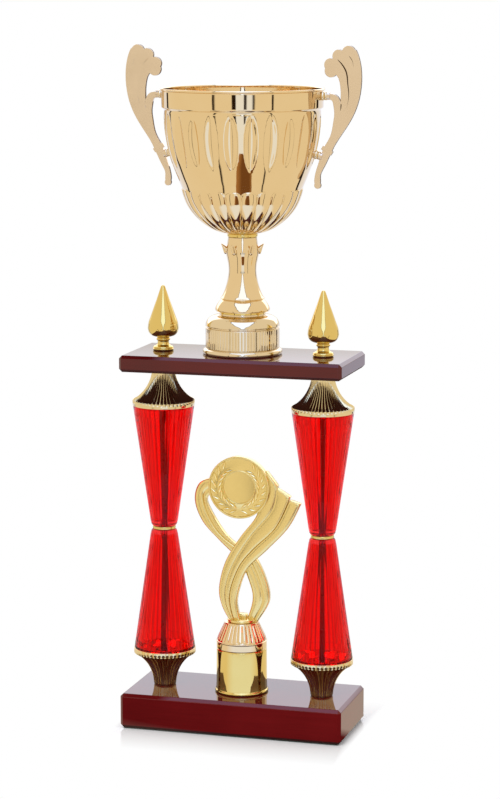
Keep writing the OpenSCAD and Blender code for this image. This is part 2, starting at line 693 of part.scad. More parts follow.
module right_handle() {
    inner_end = 2 * bowl_wall;
    color(champagne) translate([0, 0, bowl_bottom]) difference() {
        union() {
            rotate([90, 0, 0]) translate([0, 0, -handle_thickness / 2])
                linear_extrude(handle_thickness) handle_outline();
            at_fixing(right, upper_fixing_level) translate([0, 0, -inner_end])
                cylinder(d = boss_diameter, h = upper_boss_length + inner_end);
            at_fixing(right, lower_fixing_level) translate([0, 0, -inner_end])
                cylinder(d = boss_diameter, h = lower_boss_length + inner_end);
        }
        bowl_filled();
        for (level = [upper_fixing_level, lower_fixing_level]) at_fixing(right, level)
            cylinder(d = handle_screw_diameter + 2 * thread_clearance, h = handle_screw_grip + screw_spare);
    }
}

module right_cup_handle() {
    right_handle();
}

module left_cup_handle() {
    mirror([1, 0, 0]) right_handle();
}

module handle_screws() {
    color(steel) translate([0, 0, bowl_bottom])
        for (side = [left, right]) for (level = [upper_fixing_level, lower_fixing_level])
            let (under_head = bowl_thickness(level) + screw_seat_gap) at_fixing(side, level) {
                translate([0, 0, -under_head])
                    cylinder(d = handle_screw_diameter, h = under_head + handle_screw_grip);
                translate([0, 0, -under_head - handle_screw_head_height])
                    cylinder(d = handle_screw_head_diameter, h = handle_screw_head_height);
            }
}

module cup_rod() {
    color(steel) translate([0, 0, cup_rod_end]) cylinder(r = cup_rod_r, h = cup_rod_top - cup_rod_end);
}

module cup_washers() {
    color(steel) {
        translate([0, 0, board_bottom + cup_counterbore_depth - cup_washer_thickness])
            tube(cup_washer_diameter / 2, cup_rod_hole_r, cup_washer_thickness);
        translate([0, 0, bowl_bottom + bowl_wall])
            tube(cup_washer_diameter / 2, cup_rod_hole_r, cup_washer_thickness);
    }
}

module cup_nuts() {
    color(steel) {
        translate([0, 0, board_bottom + cup_counterbore_depth - cup_washer_thickness - cup_nut_height])
            hex_nut(cup_nut_flats, cup_rod_thread_r, cup_nut_height);
        translate([0, 0, bowl_bottom + bowl_wall + cup_washer_thickness])
            hex_nut(cup_nut_flats, cup_rod_thread_r, cup_nut_height);
    }
}

module at_figure() {
    translate([0, -figure_forward, 0]) children();
}

module figure_riser() {
    outer_r = riser_diameter / 2;
    lip_r = outer_r + riser_lip_reach;
    inner_r = outer_r - riser_wall;
    inside = riser_height - riser_top_thickness;
    color(yellow_gold) at_figure() translate([0, 0, base_top]) rotate_extrude() polygon([
        [inner_r, 0], [lip_r, 0], [lip_r, 0.7 * riser_lip_height], [outer_r, riser_lip_height],
        [outer_r, riser_height], [rod_hole_r, riser_height], [rod_hole_r, inside], [inner_r, inside]]);
}

module riser_neck() {
    neck_r = riser_diameter / 2 - neck_setback;
    top_r = neck_top_diameter / 2;
    socket_r = figure_spigot_diameter / 2 + figure_spigot_clearance;
    socket_level = neck_height - figure_spigot_length - socket_spare;
    color(champagne) at_figure() translate([0, 0, neck_bottom]) rotate_extrude() polygon([
        [rod_hole_r, 0], [neck_r, 0], [neck_r, neck_band_height],
        [neck_r - neck_shoulder, neck_band_height + neck_shoulder],
        [top_r, neck_height], [socket_r, neck_height], [socket_r, socket_level], [rod_hole_r, socket_level]]);
}

// Ribbons of the figure, seen from the front: X to the right, Y up from the foot. The knots were read at
// a reach of 50.8 and a medal height of 114.7, and follow both.
function placed(knots) = [for (k = knots) [k[0] * ribbon_reach / 50.8, k[1] * medal_level / 114.7]];
front_left_edge = placed([[18, 118], [14, 92], [0, 73], [-12.5, 52], [-17.9, 30], [-15.3, 15], [-8, 2]]);
front_right_edge = placed([[50.8, 103], [40, 82.5], [22, 63], [5.4, 46], [-2.4, 24], [1, 2]]);
front_tails = placed([[21.8, 129], [26, 122.4], [31.6, 116.8], [30.7, 115.2], [42.2, 108.3], [41.6, 105.7]]);
strand_left_edge = placed([[30.4, 107], [27, 97], [9, 74.5], [-5, 52], [-11.7, 33], [-12.6, 22]]);
strand_right_edge = placed([[40.4, 101], [30, 82.5], [11, 63.5], [-1, 48], [-8.4, 29], [-9.2, 22]]);
back_outer_edge = placed([[-20, 121], [-34.7, 115.7], [-39.2, 101], [-32.8, 83.5], [-18.5, 68.3], [-2, 52],
    [6, 36], [9.2, 21], [4, 2]]);
back_inner_edge = placed([[-18, 112], [-29, 104], [-28, 95.5], [-16.6, 77], [-6.6, 67], [10, 57],
    [20.2, 38], [22.9, 20], [13, 2]]);

// A flat shape stood up to face the front, between two depths behind the figure's axis
module upright(front, back) {
    translate([0, back, 0]) rotate([90, 0, 0]) linear_extrude(back - front) children();
}

module medal_figure() {
    front_face = ribbon_overlap / 2 - ribbon_thickness;
    medal_front = front_face - medal_stand;
    medal_back = medal_front + medal_thickness;
    medal_r = medal_diameter / 2;
    spigot_r = figure_spigot_diameter / 2;
    bore_depth = figure_spigot_length + figure_foot_height / 2;
    color(satin_gold) at_figure() translate([0, 0, figure_bottom]) difference() {
        union() {
            cylinder(r = neck_top_diameter / 2 - figure_foot_setback, h = figure_foot_height);
            translate([0, 0, -figure_spigot_length]) cylinder(r = spigot_r, h = figure_spigot_length + cut);
            upright(front_face, ribbon_overlap / 2) polygon(concat(
                through(front_left_edge), backwards(through(front_right_edge)), backwards(front_tails)));
            upright(front_face - strand_rise, front_face + cut) polygon(concat(
                through(strand_left_edge), backwards(through(strand_right_edge))));
            upright(-ribbon_overlap / 2, ribbon_thickness - ribbon_overlap / 2) polygon(concat(
                through(back_outer_edge), backwards(through(back_inner_edge))));
            translate([0, medal_back, medal_level]) rotate([90, 0, 0])
                cylinder(r = medal_r, h = medal_thickness);
        }
        translate([0, medal_front + medal_edge_height, medal_level]) rotate([90, 0, 0])
            cylinder(r = medal_r - medal_edge_width, h = medal_edge_height + cut);
        translate([0, medal_front + medal_edge_height + recess_depth, medal_level]) rotate([90, 0, 0])
            cylinder(d = recess_diameter, h = recess_depth + cut);
        translate([0, 0, -figure_spigot_length - cut]) cylinder(r = rod_thread_r, h = bore_depth + cut);
    }
}

module figure_rod() {
    top = figure_bottom + figure_foot_height / 2 - figure_rod_spare;
    color(steel) at_figure() translate([0, 0, rod_end]) cylinder(r = rod_r, h = top - rod_end);
}

module figure_washer() {
    color(steel) at_figure() lower_washer();
}

module figure_nut() {
    color(steel) at_figure() lower_nut();
}

base_block();
base_felt();
tie_rod_nuts();
tie_rod_washers();
tie_rod(left);  // left_tie_rod
tie_rod(right);  // right_tie_rod
column_foot(left);  // left_column_foot
column_foot(right);  // right_column_foot
lower_cone(left);  // left_lower_cone
lower_cone(right);  // right_lower_cone
waist_ring(left);  // left_waist_ring
waist_ring(right);  // right_waist_ring
upper_cone(left);  // left_upper_cone
upper_cone(right);  // right_upper_cone
column_cap(left);  // left_column_cap
column_cap(right);  // right_column_cap
upper_board();
finial(left);  // left_finial
finial(right);  // right_finial
cup_foot();
cup_stem();
bowl_collar();
cup_bowl();
left_cup_handle();
right_cup_handle();
handle_screws();
cup_rod();
cup_nuts();
cup_washers();
figure_riser();
riser_neck();
medal_figure();
figure_rod();
figure_nut();
figure_washer();
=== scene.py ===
# %% [markdown]
# # A column cup trophy
# Two red columns carry a board with a plated cup on it, and a medal holder stands between the columns. The
# trophy's working shape comes from CAD as a fixed frame, already in metres and already in place. This lesson
# dresses that frame: it models the pieces the eye dwells on again, with their flutes, lobes and leaves, and
# gives everything a finish.

# %% The frame
from math import asin, atan2, cos, exp, hypot, pi, radians, sin, sqrt

import bpy
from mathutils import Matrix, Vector


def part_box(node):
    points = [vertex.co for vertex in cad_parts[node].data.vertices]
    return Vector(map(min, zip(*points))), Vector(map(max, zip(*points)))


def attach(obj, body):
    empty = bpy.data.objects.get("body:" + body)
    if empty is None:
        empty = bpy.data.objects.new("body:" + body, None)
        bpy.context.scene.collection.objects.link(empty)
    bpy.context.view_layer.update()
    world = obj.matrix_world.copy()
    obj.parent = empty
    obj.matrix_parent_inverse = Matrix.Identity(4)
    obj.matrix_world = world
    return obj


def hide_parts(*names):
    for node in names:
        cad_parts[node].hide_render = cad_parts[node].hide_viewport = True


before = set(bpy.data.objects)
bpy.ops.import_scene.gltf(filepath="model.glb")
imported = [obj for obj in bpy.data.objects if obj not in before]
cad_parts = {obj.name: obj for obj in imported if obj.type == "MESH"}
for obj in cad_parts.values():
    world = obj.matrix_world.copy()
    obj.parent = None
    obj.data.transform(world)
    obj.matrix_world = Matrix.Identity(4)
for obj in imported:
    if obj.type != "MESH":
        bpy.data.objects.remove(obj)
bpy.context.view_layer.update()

MM = 0.001

# %% [markdown]
# ## The camera
# The picture was taken from a little right of the front and a little above, with a long lens. The angles
# were found by laying the CAD outline over the picture.

# %% The camera
CAMERA_AT, LENS, SENSOR = (0.57706, -1.98032, 0.60433), 116.61, 36
VIEW_TURN, VIEW_DROP = radians(16.08), radians(9.19)
bpy.ops.object.camera_add(location=CAMERA_AT, rotation=(pi / 2 - VIEW_DROP, 0, VIEW_TURN))
camera = bpy.context.object
camera.data.lens, camera.data.sensor_width = LENS, SENSOR
bpy.context.scene.camera = camera
print("camera at", CAMERA_AT, "with a lens of", LENS, "mm")

# %% [markdown]
# ## Colours and nodes
# Colours are written as they look on a screen, in hex, and one function turns them into the linear values
# that a shader works with. Another adds any node with its settings and links, so that each finish below
# reads as a short list of what lies over what.

# %% Colours and nodes
def to_linear(code):
    shares = [int(code[i:i + 2], 16) / 255 for i in (1, 3, 5)]
    return (*(s / 12.92 if s <= 0.04045 else ((s + 0.055) / 1.055) ** 2.4 for s in shares), 1)


def new_finish(name, **look):
    """A material whose Principled shader holds on its own sockets what is the same all over"""
    finish = bpy.data.materials.new(name)
    finish.use_nodes = True
    shader = finish.node_tree.nodes["Principled BSDF"]
    for socket, value in look.items():
        shader.inputs[socket.replace("_", " ")].default_value = value
    return finish, finish.node_tree, shader


def link(tree, node, links):
    """Links a node's inputs from sockets, or from the first output that another node has in use"""
    for name, source in links.items():
        if isinstance(source, bpy.types.Node):
            source = next(output for output in source.outputs if output.enabled)
        tree.links.new(source, node.inputs[name])


def add(tree, kind, values, links):
    """A node with its settings, its inputs' values, the stops of a colour ramp, and its links"""
    node = tree.nodes.new("ShaderNode" + kind)
    settings = [name for name in values if isinstance(name, str) and hasattr(node, name)]
    for name in settings:
        setattr(node, name, values[name])
    for name, value in values.items():
        if name != "stops" and name not in settings:
            node.inputs[name].default_value = value
    stops = values.get("stops", [])
    for position, _ in stops[1:-1]:
        node.color_ramp.elements.new(position)
    for i, (position, colour) in enumerate(stops):
        node.color_ramp.elements[i].position = position
        node.color_ramp.elements[i].color = colour
    link(tree, node, links)
    return node


def per_metre(size_mm):
    """Texture scale that gives a pattern of this size"""
    return 1 / (size_mm * MM)


# A colour Mix node's inputs are known by number, because several share a name
SHARE, UNDER, OVER = 0, 6, 7
print("red lacquer in linear values:", [round(share, 3) for share in to_linear("#5E1414")])

# %% [markdown]
# ## Lacquered wood
# The two boards are wood with a mahogany stain under a thick clear lacquer. The lacquer gives the eye a
# sharp reflection that grows strong at a low angle, while the stained grain shows only faintly below it.
# So the grain is a noise stretched along the board, and a coat lies over it.

# %% Lacquered wood
# In mm: how long and wide the grain's streaks are, and how broad the clouds in the stain
GRAIN_LONG, GRAIN_WIDE, STAIN_CLOUDS = 45, 1.4, 60


def stained_wood(name, dark, light, mirror_shade=0.0, **look):
    """Streaks of grain over broad clouds. In the mirrors of plated parts that shade the board, painted shade
    turns its colour darker and its coat weaker by a share."""
    wood, tree, shader = new_finish(name, **look)
    place = add(tree, "TexCoord", {}, {}).outputs["Object"]
    along_board = (per_metre(GRAIN_LONG), per_metre(GRAIN_WIDE), per_metre(GRAIN_WIDE))
    streaks = add(tree, "Mapping", {"Scale": along_board}, {"Vector": place})
    fine = {"Scale": 1.0, "Detail": 5.0, "Roughness": 0.6, "Distortion": 0.4}
    grain = add(tree, "TexNoise", fine, {"Vector": streaks})
    broad = add(tree, "TexNoise", {"Scale": per_metre(STAIN_CLOUDS), "Detail": 2.0}, {"Vector": place})
    both = add(tree, "Math", {"operation": "MULTIPLY_ADD", 1: 0.55}, {0: grain, 2: broad})
    depth = add(tree, "MapRange", {"From Min": 0.45, "From Max": 1.1}, {"Value": both})
    stains = {"data_type": "RGBA", UNDER: to_linear(dark), OVER: to_linear(light)}
    stain = add(tree, "Mix", stains, {SHARE: depth})
    pores = add(tree, "Bump", {"Strength": 0.06, "Distance": 0.05 * MM}, {"Height": grain})
    if mirror_shade:
        # Painted shade for reflected rays: the colour turns towards dark brown and the coat weakens
        mirrored = add(tree, "LightPath", {}, {}).outputs["Is Glossy Ray"]
        coat = add(tree, "MapRange", {"To Min": 1.0, "To Max": 1 - 1.5 * mirror_shade}, {"Value": mirrored})
        shaded = add(tree, "MapRange", {"To Max": mirror_shade}, {"Value": mirrored})
        shade = {"data_type": "RGBA", OVER: to_linear("#1E0C04")}
        stain = add(tree, "Mix", shade, {SHARE: shaded, UNDER: stain})
        link(tree, shader, {"Coat Weight": coat})
    link(tree, shader, {"Base Color": stain, "Normal": pores})
    return wood


# A polished clear coat: a sharp reflection, weak straight on and strong at a low angle. The upper board's
# stain is darker as painted shade, standing in for the lesser light that falls on it.
LACQUER = {"Roughness": 0.5, "Specular_IOR_Level": 0.0, "Coat_Weight": 1.0, "Coat_Roughness": 0.02,
           "Coat_IOR": 1.42}
base_wood = stained_wood("lacquered_mahogany_base", "#48080A", "#5C0F11", mirror_shade=0.4, **LACQUER)
shaded_shelf_wood = stained_wood("shaded_mahogany_shelf", "#3C0708", "#4D0D0F", **LACQUER)
# Bare stained wood on the undersides: dull, as unlacquered wood is, and darker as painted shade, so that
# the caps below mirror a dark ceiling.
DULL = {"Roughness": 0.8, "Specular_IOR_Level": 0.2}
bare_shaded_wood = stained_wood("bare_shaded_underside", "#2A0A0A", "#3C1412", **DULL)
print("finishes", base_wood.name, shaded_shelf_wood.name, bare_shaded_wood.name)

# %% [markdown]
# ## The golds
# Trophy parts are moulded or pressed and then plated, so they are mirrors with a tint. The cup is a pale
# champagne, the finials and the riser a deeper yellow. The handles and the medal figure are matt, which
# spreads the reflections into soft light and dark. One function makes all of them, because they differ
# only in tint, roughness and how wavy the plated surface is.

# %% The golds
# In mm: how broad the clouds in the tint are
PLATE_CLOUDS = 20


def plated(name, tint, worn_tint, rough, wave_mm, wave_height_mm):
    """Plated metal: a tint that clouds a little, polish that varies, and a slight wave in the surface"""
    gold, tree, shader = new_finish(name, Metallic=1.0)
    place = add(tree, "TexCoord", {}, {}).outputs["Object"]
    cloud = add(tree, "TexNoise", {"Scale": per_metre(PLATE_CLOUDS), "Detail": 3.0}, {"Vector": place})
    tints = {"data_type": "RGBA", UNDER: to_linear(tint), OVER: to_linear(worn_tint)}
    colour = add(tree, "Mix", tints, {SHARE: cloud})
    spread = {"From Min": 0.3, "From Max": 0.7, "To Min": 0.8 * rough, "To Max": 1.2 * rough}
    polish = add(tree, "MapRange", spread, {"Value": cloud})
    wave = add(tree, "TexNoise", {"Scale": per_metre(wave_mm), "Detail": 1.0}, {"Vector": place})
    relief = add(tree, "Bump", {"Strength": 1.0, "Distance": wave_height_mm * MM}, {"Height": wave})
    link(tree, shader, {"Base Color": colour, "Roughness": polish, "Normal": relief})
    return gold


# Champagne plate on moulded parts (the cup's foot is the palest) and on the pressed bowl: a clean mirror,
# its lines a little unsteady.
champagne = plated("champagne_plate", "#E8D1AA", "#E5CCA1", 0.05, 7, 0.015)
pale_champagne = plated("pale_champagne_plate", "#E4D3B4", "#E0CDAC", 0.05, 7, 0.015)
bowl_plate = plated("champagne_bowl_sheet", "#E8D1A8", "#E5CB9E", 0.04, 9, 0.02)
# Yellow gold plate on the turned-looking mouldings: a deep mirror.
yellow_gold = plated("yellow_gold_plate", "#E4CB80", "#E0C476", 0.05, 8, 0.015)
# The bells are paler than the other mouldings, and the polish of the lower ones gets streaks further on.
bell_plate = plated("pale_gold_bell_plate", "#E5D5AC", "#E1CEA0", 0.05, 8, 0.012)
worn_sheen_plate = plated("worn_sheen_bell_plate", "#E5D5AC", "#E1CEA0", 0.05, 8, 0.012)
# Matt plate on the cast handles: it only spreads the light, over a slight unevenness.
handle_plate = plated("matt_champagne_handle", "#E2D0BA", "#DECAB2", 0.16, 20, 0.01)
# Painted shade, dark and dull, lies in the engraved veins and along the edges, so that they read as lines.
vein_and_edge_shade = plated("painted_vein_and_edge_shade", "#5A4630", "#4A3824", 0.45, 20, 0.01)
# Satin plate on the medal figure: yellower than the handles.
satin_gold = plated("satin_gold_figure", "#EBD594", "#E7CE88", 0.22, 20, 0.01)
# The medal's raised leaves are rubbed brighter, so that each catches a small sharp light.
leaf_gold = plated("rubbed_gold_leaves", "#F6E6B0", "#F2DFA4", 0.1, 20, 0.01)
golds = (champagne, pale_champagne, bowl_plate, yellow_gold, bell_plate, worn_sheen_plate, handle_plate,
         vein_and_edge_shade, satin_gold, leaf_gold)
print("golds", [gold.name for gold in golds])

# %% [markdown]
# ## Clear red plastic, steel and felt
# The cones are moulded in clear red polystyrene, so light crosses two walls and its colour deepens with
# each one. The colour on the shader is therefore paler than the column looks. Rods, nuts and screws are
# zinc-plated steel, and a dark felt sheet keeps the base from scratching a shelf.

# %% Clear red plastic
COLUMN_X, CONE_REEDS, BELL_REEDS = 67 * MM, 36, 48


def reeds_round(tree, count):
    """Counts so many reeds round the nearer column's axis, and gives the height too"""
    place = add(tree, "TexCoord", {}, {}).outputs["Object"]
    axes = add(tree, "SeparateXYZ", {}, {"Vector": place}).outputs
    either = add(tree, "Math", {"operation": "ABSOLUTE"}, {0: axes["X"]})
    from_axis = add(tree, "Math", {"operation": "SUBTRACT", 1: COLUMN_X}, {0: either})
    across = add(tree, "CombineXYZ", {}, {"X": from_axis, "Y": axes["Y"]})
    angle = add(tree, "TexGradient", {"gradient_type": "RADIAL"}, {"Vector": across})
    return add(tree, "Math", {"operation": "MULTIPLY", 1: count}, {0: angle.outputs["Fac"]}), axes["Z"]


red_plastic, tree, shader = new_finish(
    "clear_red_polystyrene", Roughness=0.02, IOR=1.22, Transmission_Weight=1.0)
# Moulded plastic is never quite even: its red deepens and pales a little along the cone, over about 30 mm.
place = add(tree, "TexCoord", {}, {}).outputs["Object"]
flow = add(tree, "TexNoise", {"Scale": per_metre(30), "Detail": 2.0}, {"Vector": place})
reds = {"data_type": "RGBA", UNDER: to_linear("#F72830"), OVER: to_linear("#F63632")}
depth = add(tree, "Mix", reds, {SHARE: flow})
# Painted shade: light is lost in the sharp valleys between the reeds, so each one is painted a thin darker
# line.
reeds, _ = reeds_round(tree, CONE_REEDS)
to_valley = add(tree, "Math", {"operation": "PINGPONG", 1: 0.5}, {0: reeds})
line = add(tree, "MapRange", {"From Min": 0.15, "From Max": 0.03}, {"Value": to_valley})
red_with_painted_valley_shade = add(tree, "Mix", {"data_type": "RGBA", OVER: to_linear("#C2141C")}, {SHARE: line, UNDER: depth})
link(tree, shader, {"Base Color": red_with_painted_valley_shade})
print("finish", red_plastic.name, "with", CONE_REEDS, "dark lines")

# %% Worn bells with a painted sheen
# On the lower bells the polish wore off along some reeds, in streaks about a reed wide and 40 mm long that
# catch light from all round, and a painted sheen of deeper gold lies on them.
STREAKS, STREAK_LONG = 1.3 * BELL_REEDS, 40
tree = worn_sheen_plate.node_tree
shader = tree.nodes["Principled BSDF"]
reeds, height = reeds_round(tree, STREAKS)
slow = add(tree, "Math", {"operation": "MULTIPLY", 1: per_metre(STREAK_LONG)}, {0: height})
spots = add(tree, "CombineXYZ", {}, {"X": reeds, "Z": slow})
streaks = add(tree, "TexNoise", {"Scale": 1.0, "Detail": 1.0}, {"Vector": spots})
worn_sheen = add(tree, "MapRange", {"From Min": 0.48, "From Max": 0.66}, {"Value": streaks})
dull = add(tree, "MapRange", {"To Min": 0.05, "To Max": 0.5}, {"Value": worn_sheen})
plain = shader.inputs["Base Color"].links[0].from_socket
# Painted sheen: the streaks turn a deeper gold
deep = add(tree, "Mix", {"data_type": "RGBA", OVER: to_linear("#E8C070")}, {SHARE: worn_sheen, UNDER: plain})
link(tree, shader, {"Base Color": deep, "Roughness": dull})
print("finish", worn_sheen_plate.name, "with streaks of", STREAK_LONG, "mm")

# %% Steel and felt
# Zinc-plated steel: grey, a little cloudy.
steel = plated("zinc_plated_steel", "#B9BBC0", "#9FA1A8", 0.25, 3, 0.02)
# Plain drawn steel on the two long tie rods, which show dark through the red.
rod_steel = plated("drawn_rod_steel", "#8C8A8E", "#7C7A7E", 0.3, 3, 0.02)
# Pressed wool felt: matt and fibrous, fibres drawn at 0.6 mm so that they show.
felt, tree, shader = new_finish("pressed_felt", Roughness=1.0, Sheen_Weight=0.4)
place = add(tree, "TexCoord", {}, {}).outputs["Object"]
fibres = add(tree, "TexNoise", {"Scale": per_metre(0.6), "Detail": 6.0}, {"Vector": place})
greens = {"data_type": "RGBA", UNDER: to_linear("#141B17"), OVER: to_linear("#2A3830")}
colour = add(tree, "Mix", greens, {SHARE: fibres})
fuzz = add(tree, "Bump", {"Strength": 0.8, "Distance": 0.3 * MM}, {"Height": fibres})
link(tree, shader, {"Base Color": colour, "Normal": fuzz})
print("finishes", steel.name, rod_steel.name, felt.name)

# %% [markdown]
# ## Dressing a piece
# Each finished piece gets its material (unless it has its own), soft shading up to a set angle and the body
# that it moves with, and the CAD nodes that it stands for are hidden. The steps are always the same, so they
# are one function. On pieces with broad flat faces a Weighted Normal modifier keeps the faces' shading flat
# up to their softened edges. What comes twice is made once and copied, each copy with its own mesh.

# %% Dressing a piece
def pick(piece):
    """Selects this piece alone and makes it the active one"""
    bpy.ops.object.select_all(action="DESELECT")
    piece.select_set(True)
    bpy.context.view_layer.objects.active = piece


def modified(piece, kind, **settings):
    """Applies a modifier with these settings"""
    pick(piece)
    modifier = piece.modifiers.new(kind, kind)
    for name, value in settings.items():
        setattr(modifier, name, value)
    bpy.ops.object.modifier_apply(modifier=modifier.name)


def dressed(piece, finish, body, slot, *nodes, crease=35, flat=False):
    pick(piece)
    bpy.ops.object.shade_smooth_by_angle(angle=radians(crease))
    if flat:
        modified(piece, "WEIGHTED_NORMAL", keep_sharp=True)
    if finish:
        piece.data.materials.clear()
        piece.data.materials.append(finish)
    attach(piece, body)
    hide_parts(*nodes)
    triangles = sum(len(face.vertices) - 2 for face in piece.data.polygons)
    print(piece.name, "rides", body, "with", triangles, "triangles")


def copied(piece, name, move=(0, 0, 0), scale=(1, 1, 1), turn=0.0, axis="Z", centre=(0, 0, 0)):
    """A copy with its own mesh, scaled and turned about a centre and then moved"""
    pick(piece)
    bpy.ops.object.duplicate()
    copy = bpy.context.object
    copy.name = name
    bpy.ops.object.mode_set(mode="EDIT")
    bpy.ops.mesh.select_all(action="SELECT")
    bpy.ops.transform.resize(value=scale, center_override=centre)
    if turn:
        bpy.ops.transform.rotate(value=-turn, orient_axis=axis, center_override=centre)
    bpy.ops.transform.translate(value=move)
    bpy.ops.mesh.normals_make_consistent(inside=False)
    bpy.ops.object.mode_set(mode="OBJECT")
    return copy


print("nodes to dress:", len(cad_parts))

# %% [markdown]
# ## The boards
# Each board is a sawn block with its upper edges chamfered, and the lacquer softens every corner. A cube
# at the board's size gets the chamfer on its top edges by hand; a Bevel modifier then rounds what is left,
# so that the corners catch a line of light. Holes for the rods and pockets for their nuts are cut with
# Booleans.

# %% A board
BOARD_CHAMFER, LACQUER_ROUND = 2.5 * MM, 0.3 * MM


def board(name, node):
    low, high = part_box(node)
    bpy.ops.object.select_all(action="DESELECT")
    bpy.ops.mesh.primitive_cube_add(size=1, location=(low + high) / 2, scale=high - low)
    piece = bpy.context.object
    piece.name = name
    bpy.ops.object.transform_apply(location=True, rotation=False, scale=False)
    for edge in piece.data.edges:
        edge.select = all(piece.data.vertices[i].co.z > high.z - MM for i in edge.vertices)
    bpy.ops.object.mode_set(mode="EDIT")
    bpy.ops.mesh.select_mode(type="EDGE")
    bpy.ops.mesh.bevel(offset=BOARD_CHAMFER, offset_type="OFFSET", segments=1)
    bpy.ops.object.mode_set(mode="OBJECT")
    modified(piece, "BEVEL", width=LACQUER_ROUND, segments=3, limit_method="ANGLE", angle_limit=radians(20))
    return piece


def bored(piece, x, y, radius_mm, low, high):
    """Cuts a round hole down through the piece"""
    bpy.ops.object.select_all(action="DESELECT")
    middle_h, depth = (low + high) / 2, high - low
    bpy.ops.mesh.primitive_cylinder_add(
        vertices=64, radius=radius_mm * MM, depth=depth, location=(x, y, middle_h))
    drill = bpy.context.object
    modified(piece, "BOOLEAN", operation="DIFFERENCE", object=drill, solver="EXACT")
    bpy.data.objects.remove(drill)


base = board("lacquered_base", "base_block")
shelf = board("lacquered_shelf", "upper_board")
print("boards with chamfers of", BOARD_CHAMFER / MM, "mm")

# %% Holes in the boards
FIGURE_Y = -2.8 * MM
BASE_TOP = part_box("base_block")[1].z
BOARD_LOW, BOARD_TOP = [corner.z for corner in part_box("upper_board")]
# In mm: bores for the tie rods and the cup's rod, and the pockets for their nuts under the boards
ROD_BORE, CUP_BORE = 2.75, 3.25
POCKET_R, POCKET_H, CUP_POCKET_R, CUP_POCKET_H = 9, 8, 10.5, 7.6
for x, y in ((-COLUMN_X, 0), (COLUMN_X, 0), (0, FIGURE_Y)):
    bored(base, x, y, ROD_BORE, -MM, BASE_TOP + MM)
    bored(base, x, y, POCKET_R, -MM, POCKET_H * MM)
for x, radius_mm in ((-COLUMN_X, ROD_BORE), (COLUMN_X, ROD_BORE), (0, CUP_BORE)):
    bored(shelf, x, 0, radius_mm, BOARD_LOW - MM, BOARD_TOP + MM)
bored(shelf, 0, 0, CUP_POCKET_R, BOARD_LOW - MM, BOARD_LOW + CUP_POCKET_H * MM)
dressed(base, base_wood, "stand", "lacquered_wood", "base_block", flat=True)
dressed(shelf, shaded_shelf_wood, "stand", "lacquered_wood", "upper_board", flat=True)
# Faces that look down take the bare wood, dull and darker with painted shade
for piece in (base, shelf):
    piece.data.materials.append(bare_shaded_wood)
    for face in piece.data.polygons:
        face.material_index = int(face.normal.z < -0.5)

# %% [markdown]
# ## Turned pieces
# Most of the trophy was turned, or moulded in a turned tool. On a lathe the shape is one outline, so here
# too: a single corner point is extruded along the outline, and Spin carries that line round its axis.
# Outlines are lists of radius and height in mm. Corners take a small fillet, because a truly sharp edge
# never catches the light.

# %% Outlines
def smooth(knots, steps):
    """Points of a smooth curve that passes through every knot"""
    ends = [Vector(knot) for knot in (knots[0], *knots, knots[-1])]
    points = []
    for p, q, r, s in zip(ends, ends[1:], ends[2:], ends[3:]):
        bow, sway = 2 * p - 5 * q + 4 * r - s, 3 * q - p - 3 * r + s
        for t in (i / steps for i in range(steps)):
            points.append(0.5 * (2 * q + t * (r - p) + t * t * bow + t ** 3 * sway))
    return points + [ends[-1]]


def filleted(corners, steps=4):
    """A closed outline whose corners (radius, height, fillet) are rounded by their fillets"""
    points = []
    for before, corner, after in zip([corners[-1], *corners], corners, [*corners[1:], corners[0]]):
        here, fillet = Vector(corner[:2]), corner[2] if len(corner) > 2 else 0
        to_before, to_after = Vector(before[:2]) - here, Vector(after[:2]) - here
        if not fillet:
            points.append(here)
            continue
        reach = min(fillet, 0.45 * to_before.length, 0.45 * to_after.length)
        start, end = here + to_before.normalized() * reach, here + to_after.normalized() * reach
        for t in (i / steps for i in range(steps + 1)):
            points.append((1 - t) ** 2 * start + 2 * t * (1 - t) * here + t * t * end)
    return points


def stretch(*corners):
    """A stretch of an outline with filleted corners; the first and the last only guide it"""
    return filleted(corners)[1:-1]


print("a filleted square has", len(filleted([(0, 0, 1), (9, 0, 1), (9, 9, 1), (0, 9, 1)])), "points")

# %% Turning
def turned(name, outline, steps, centre=(0, 0, 0), axis=(0, 0, 1), side=(1, 0, 0)):
    """Spins a closed outline of (radius, height) in mm round an axis through a centre in metres"""
    centre, axis, side = Vector(centre), Vector(axis), Vector(side)
    path = [centre + (side * point[0] + axis * point[1]) * MM for point in [*outline, outline[0]]]
    bpy.ops.object.select_all(action="DESELECT")
    bpy.ops.mesh.primitive_plane_add(size=MM)
    piece = bpy.context.object
    piece.name = name
    bpy.ops.object.mode_set(mode="EDIT")
    bpy.ops.mesh.select_mode(type="VERT")
    bpy.ops.mesh.merge(type="CENTER")
    bpy.ops.transform.translate(value=path[0])
    for here, there in zip(path, path[1:]):
        bpy.ops.mesh.extrude_region_move(TRANSFORM_OT_translate={"value": there - here})
    bpy.ops.mesh.select_all(action="SELECT")
    bpy.ops.mesh.spin(steps=steps, angle=2 * pi, center=centre, axis=axis, use_auto_merge=True)
    bpy.ops.mesh.select_all(action="SELECT")
    bpy.ops.mesh.remove_doubles(threshold=2e-6)
    bpy.ops.mesh.normals_make_consistent(inside=False)
    bpy.ops.object.mode_set(mode="OBJECT")
    print(name, "turned from", len(outline), "points")
    return piece


print("helper", turned.__name__)

# %% Embossing
def embossed(piece, depth_mm, height):
    """Moves the surface along its normals by depth times height(vertex), a share from 0 to 1"""
    relief = piece.vertex_groups.new(name="relief")
    for vertex in piece.data.vertices:
        share = height(vertex)
        if share > 0:
            relief.add([vertex.index], share, "REPLACE")
    modified(piece, "DISPLACE", vertex_group="relief", mid_level=0, strength=depth_mm * MM)
    piece.vertex_groups.clear()


def ramp(value, start, end):
    """0 before start, 1 after end and a soft step between them"""
    t = min(1, max(0, (value - start) / (end - start)))
    return t * t * (3 - 2 * t)


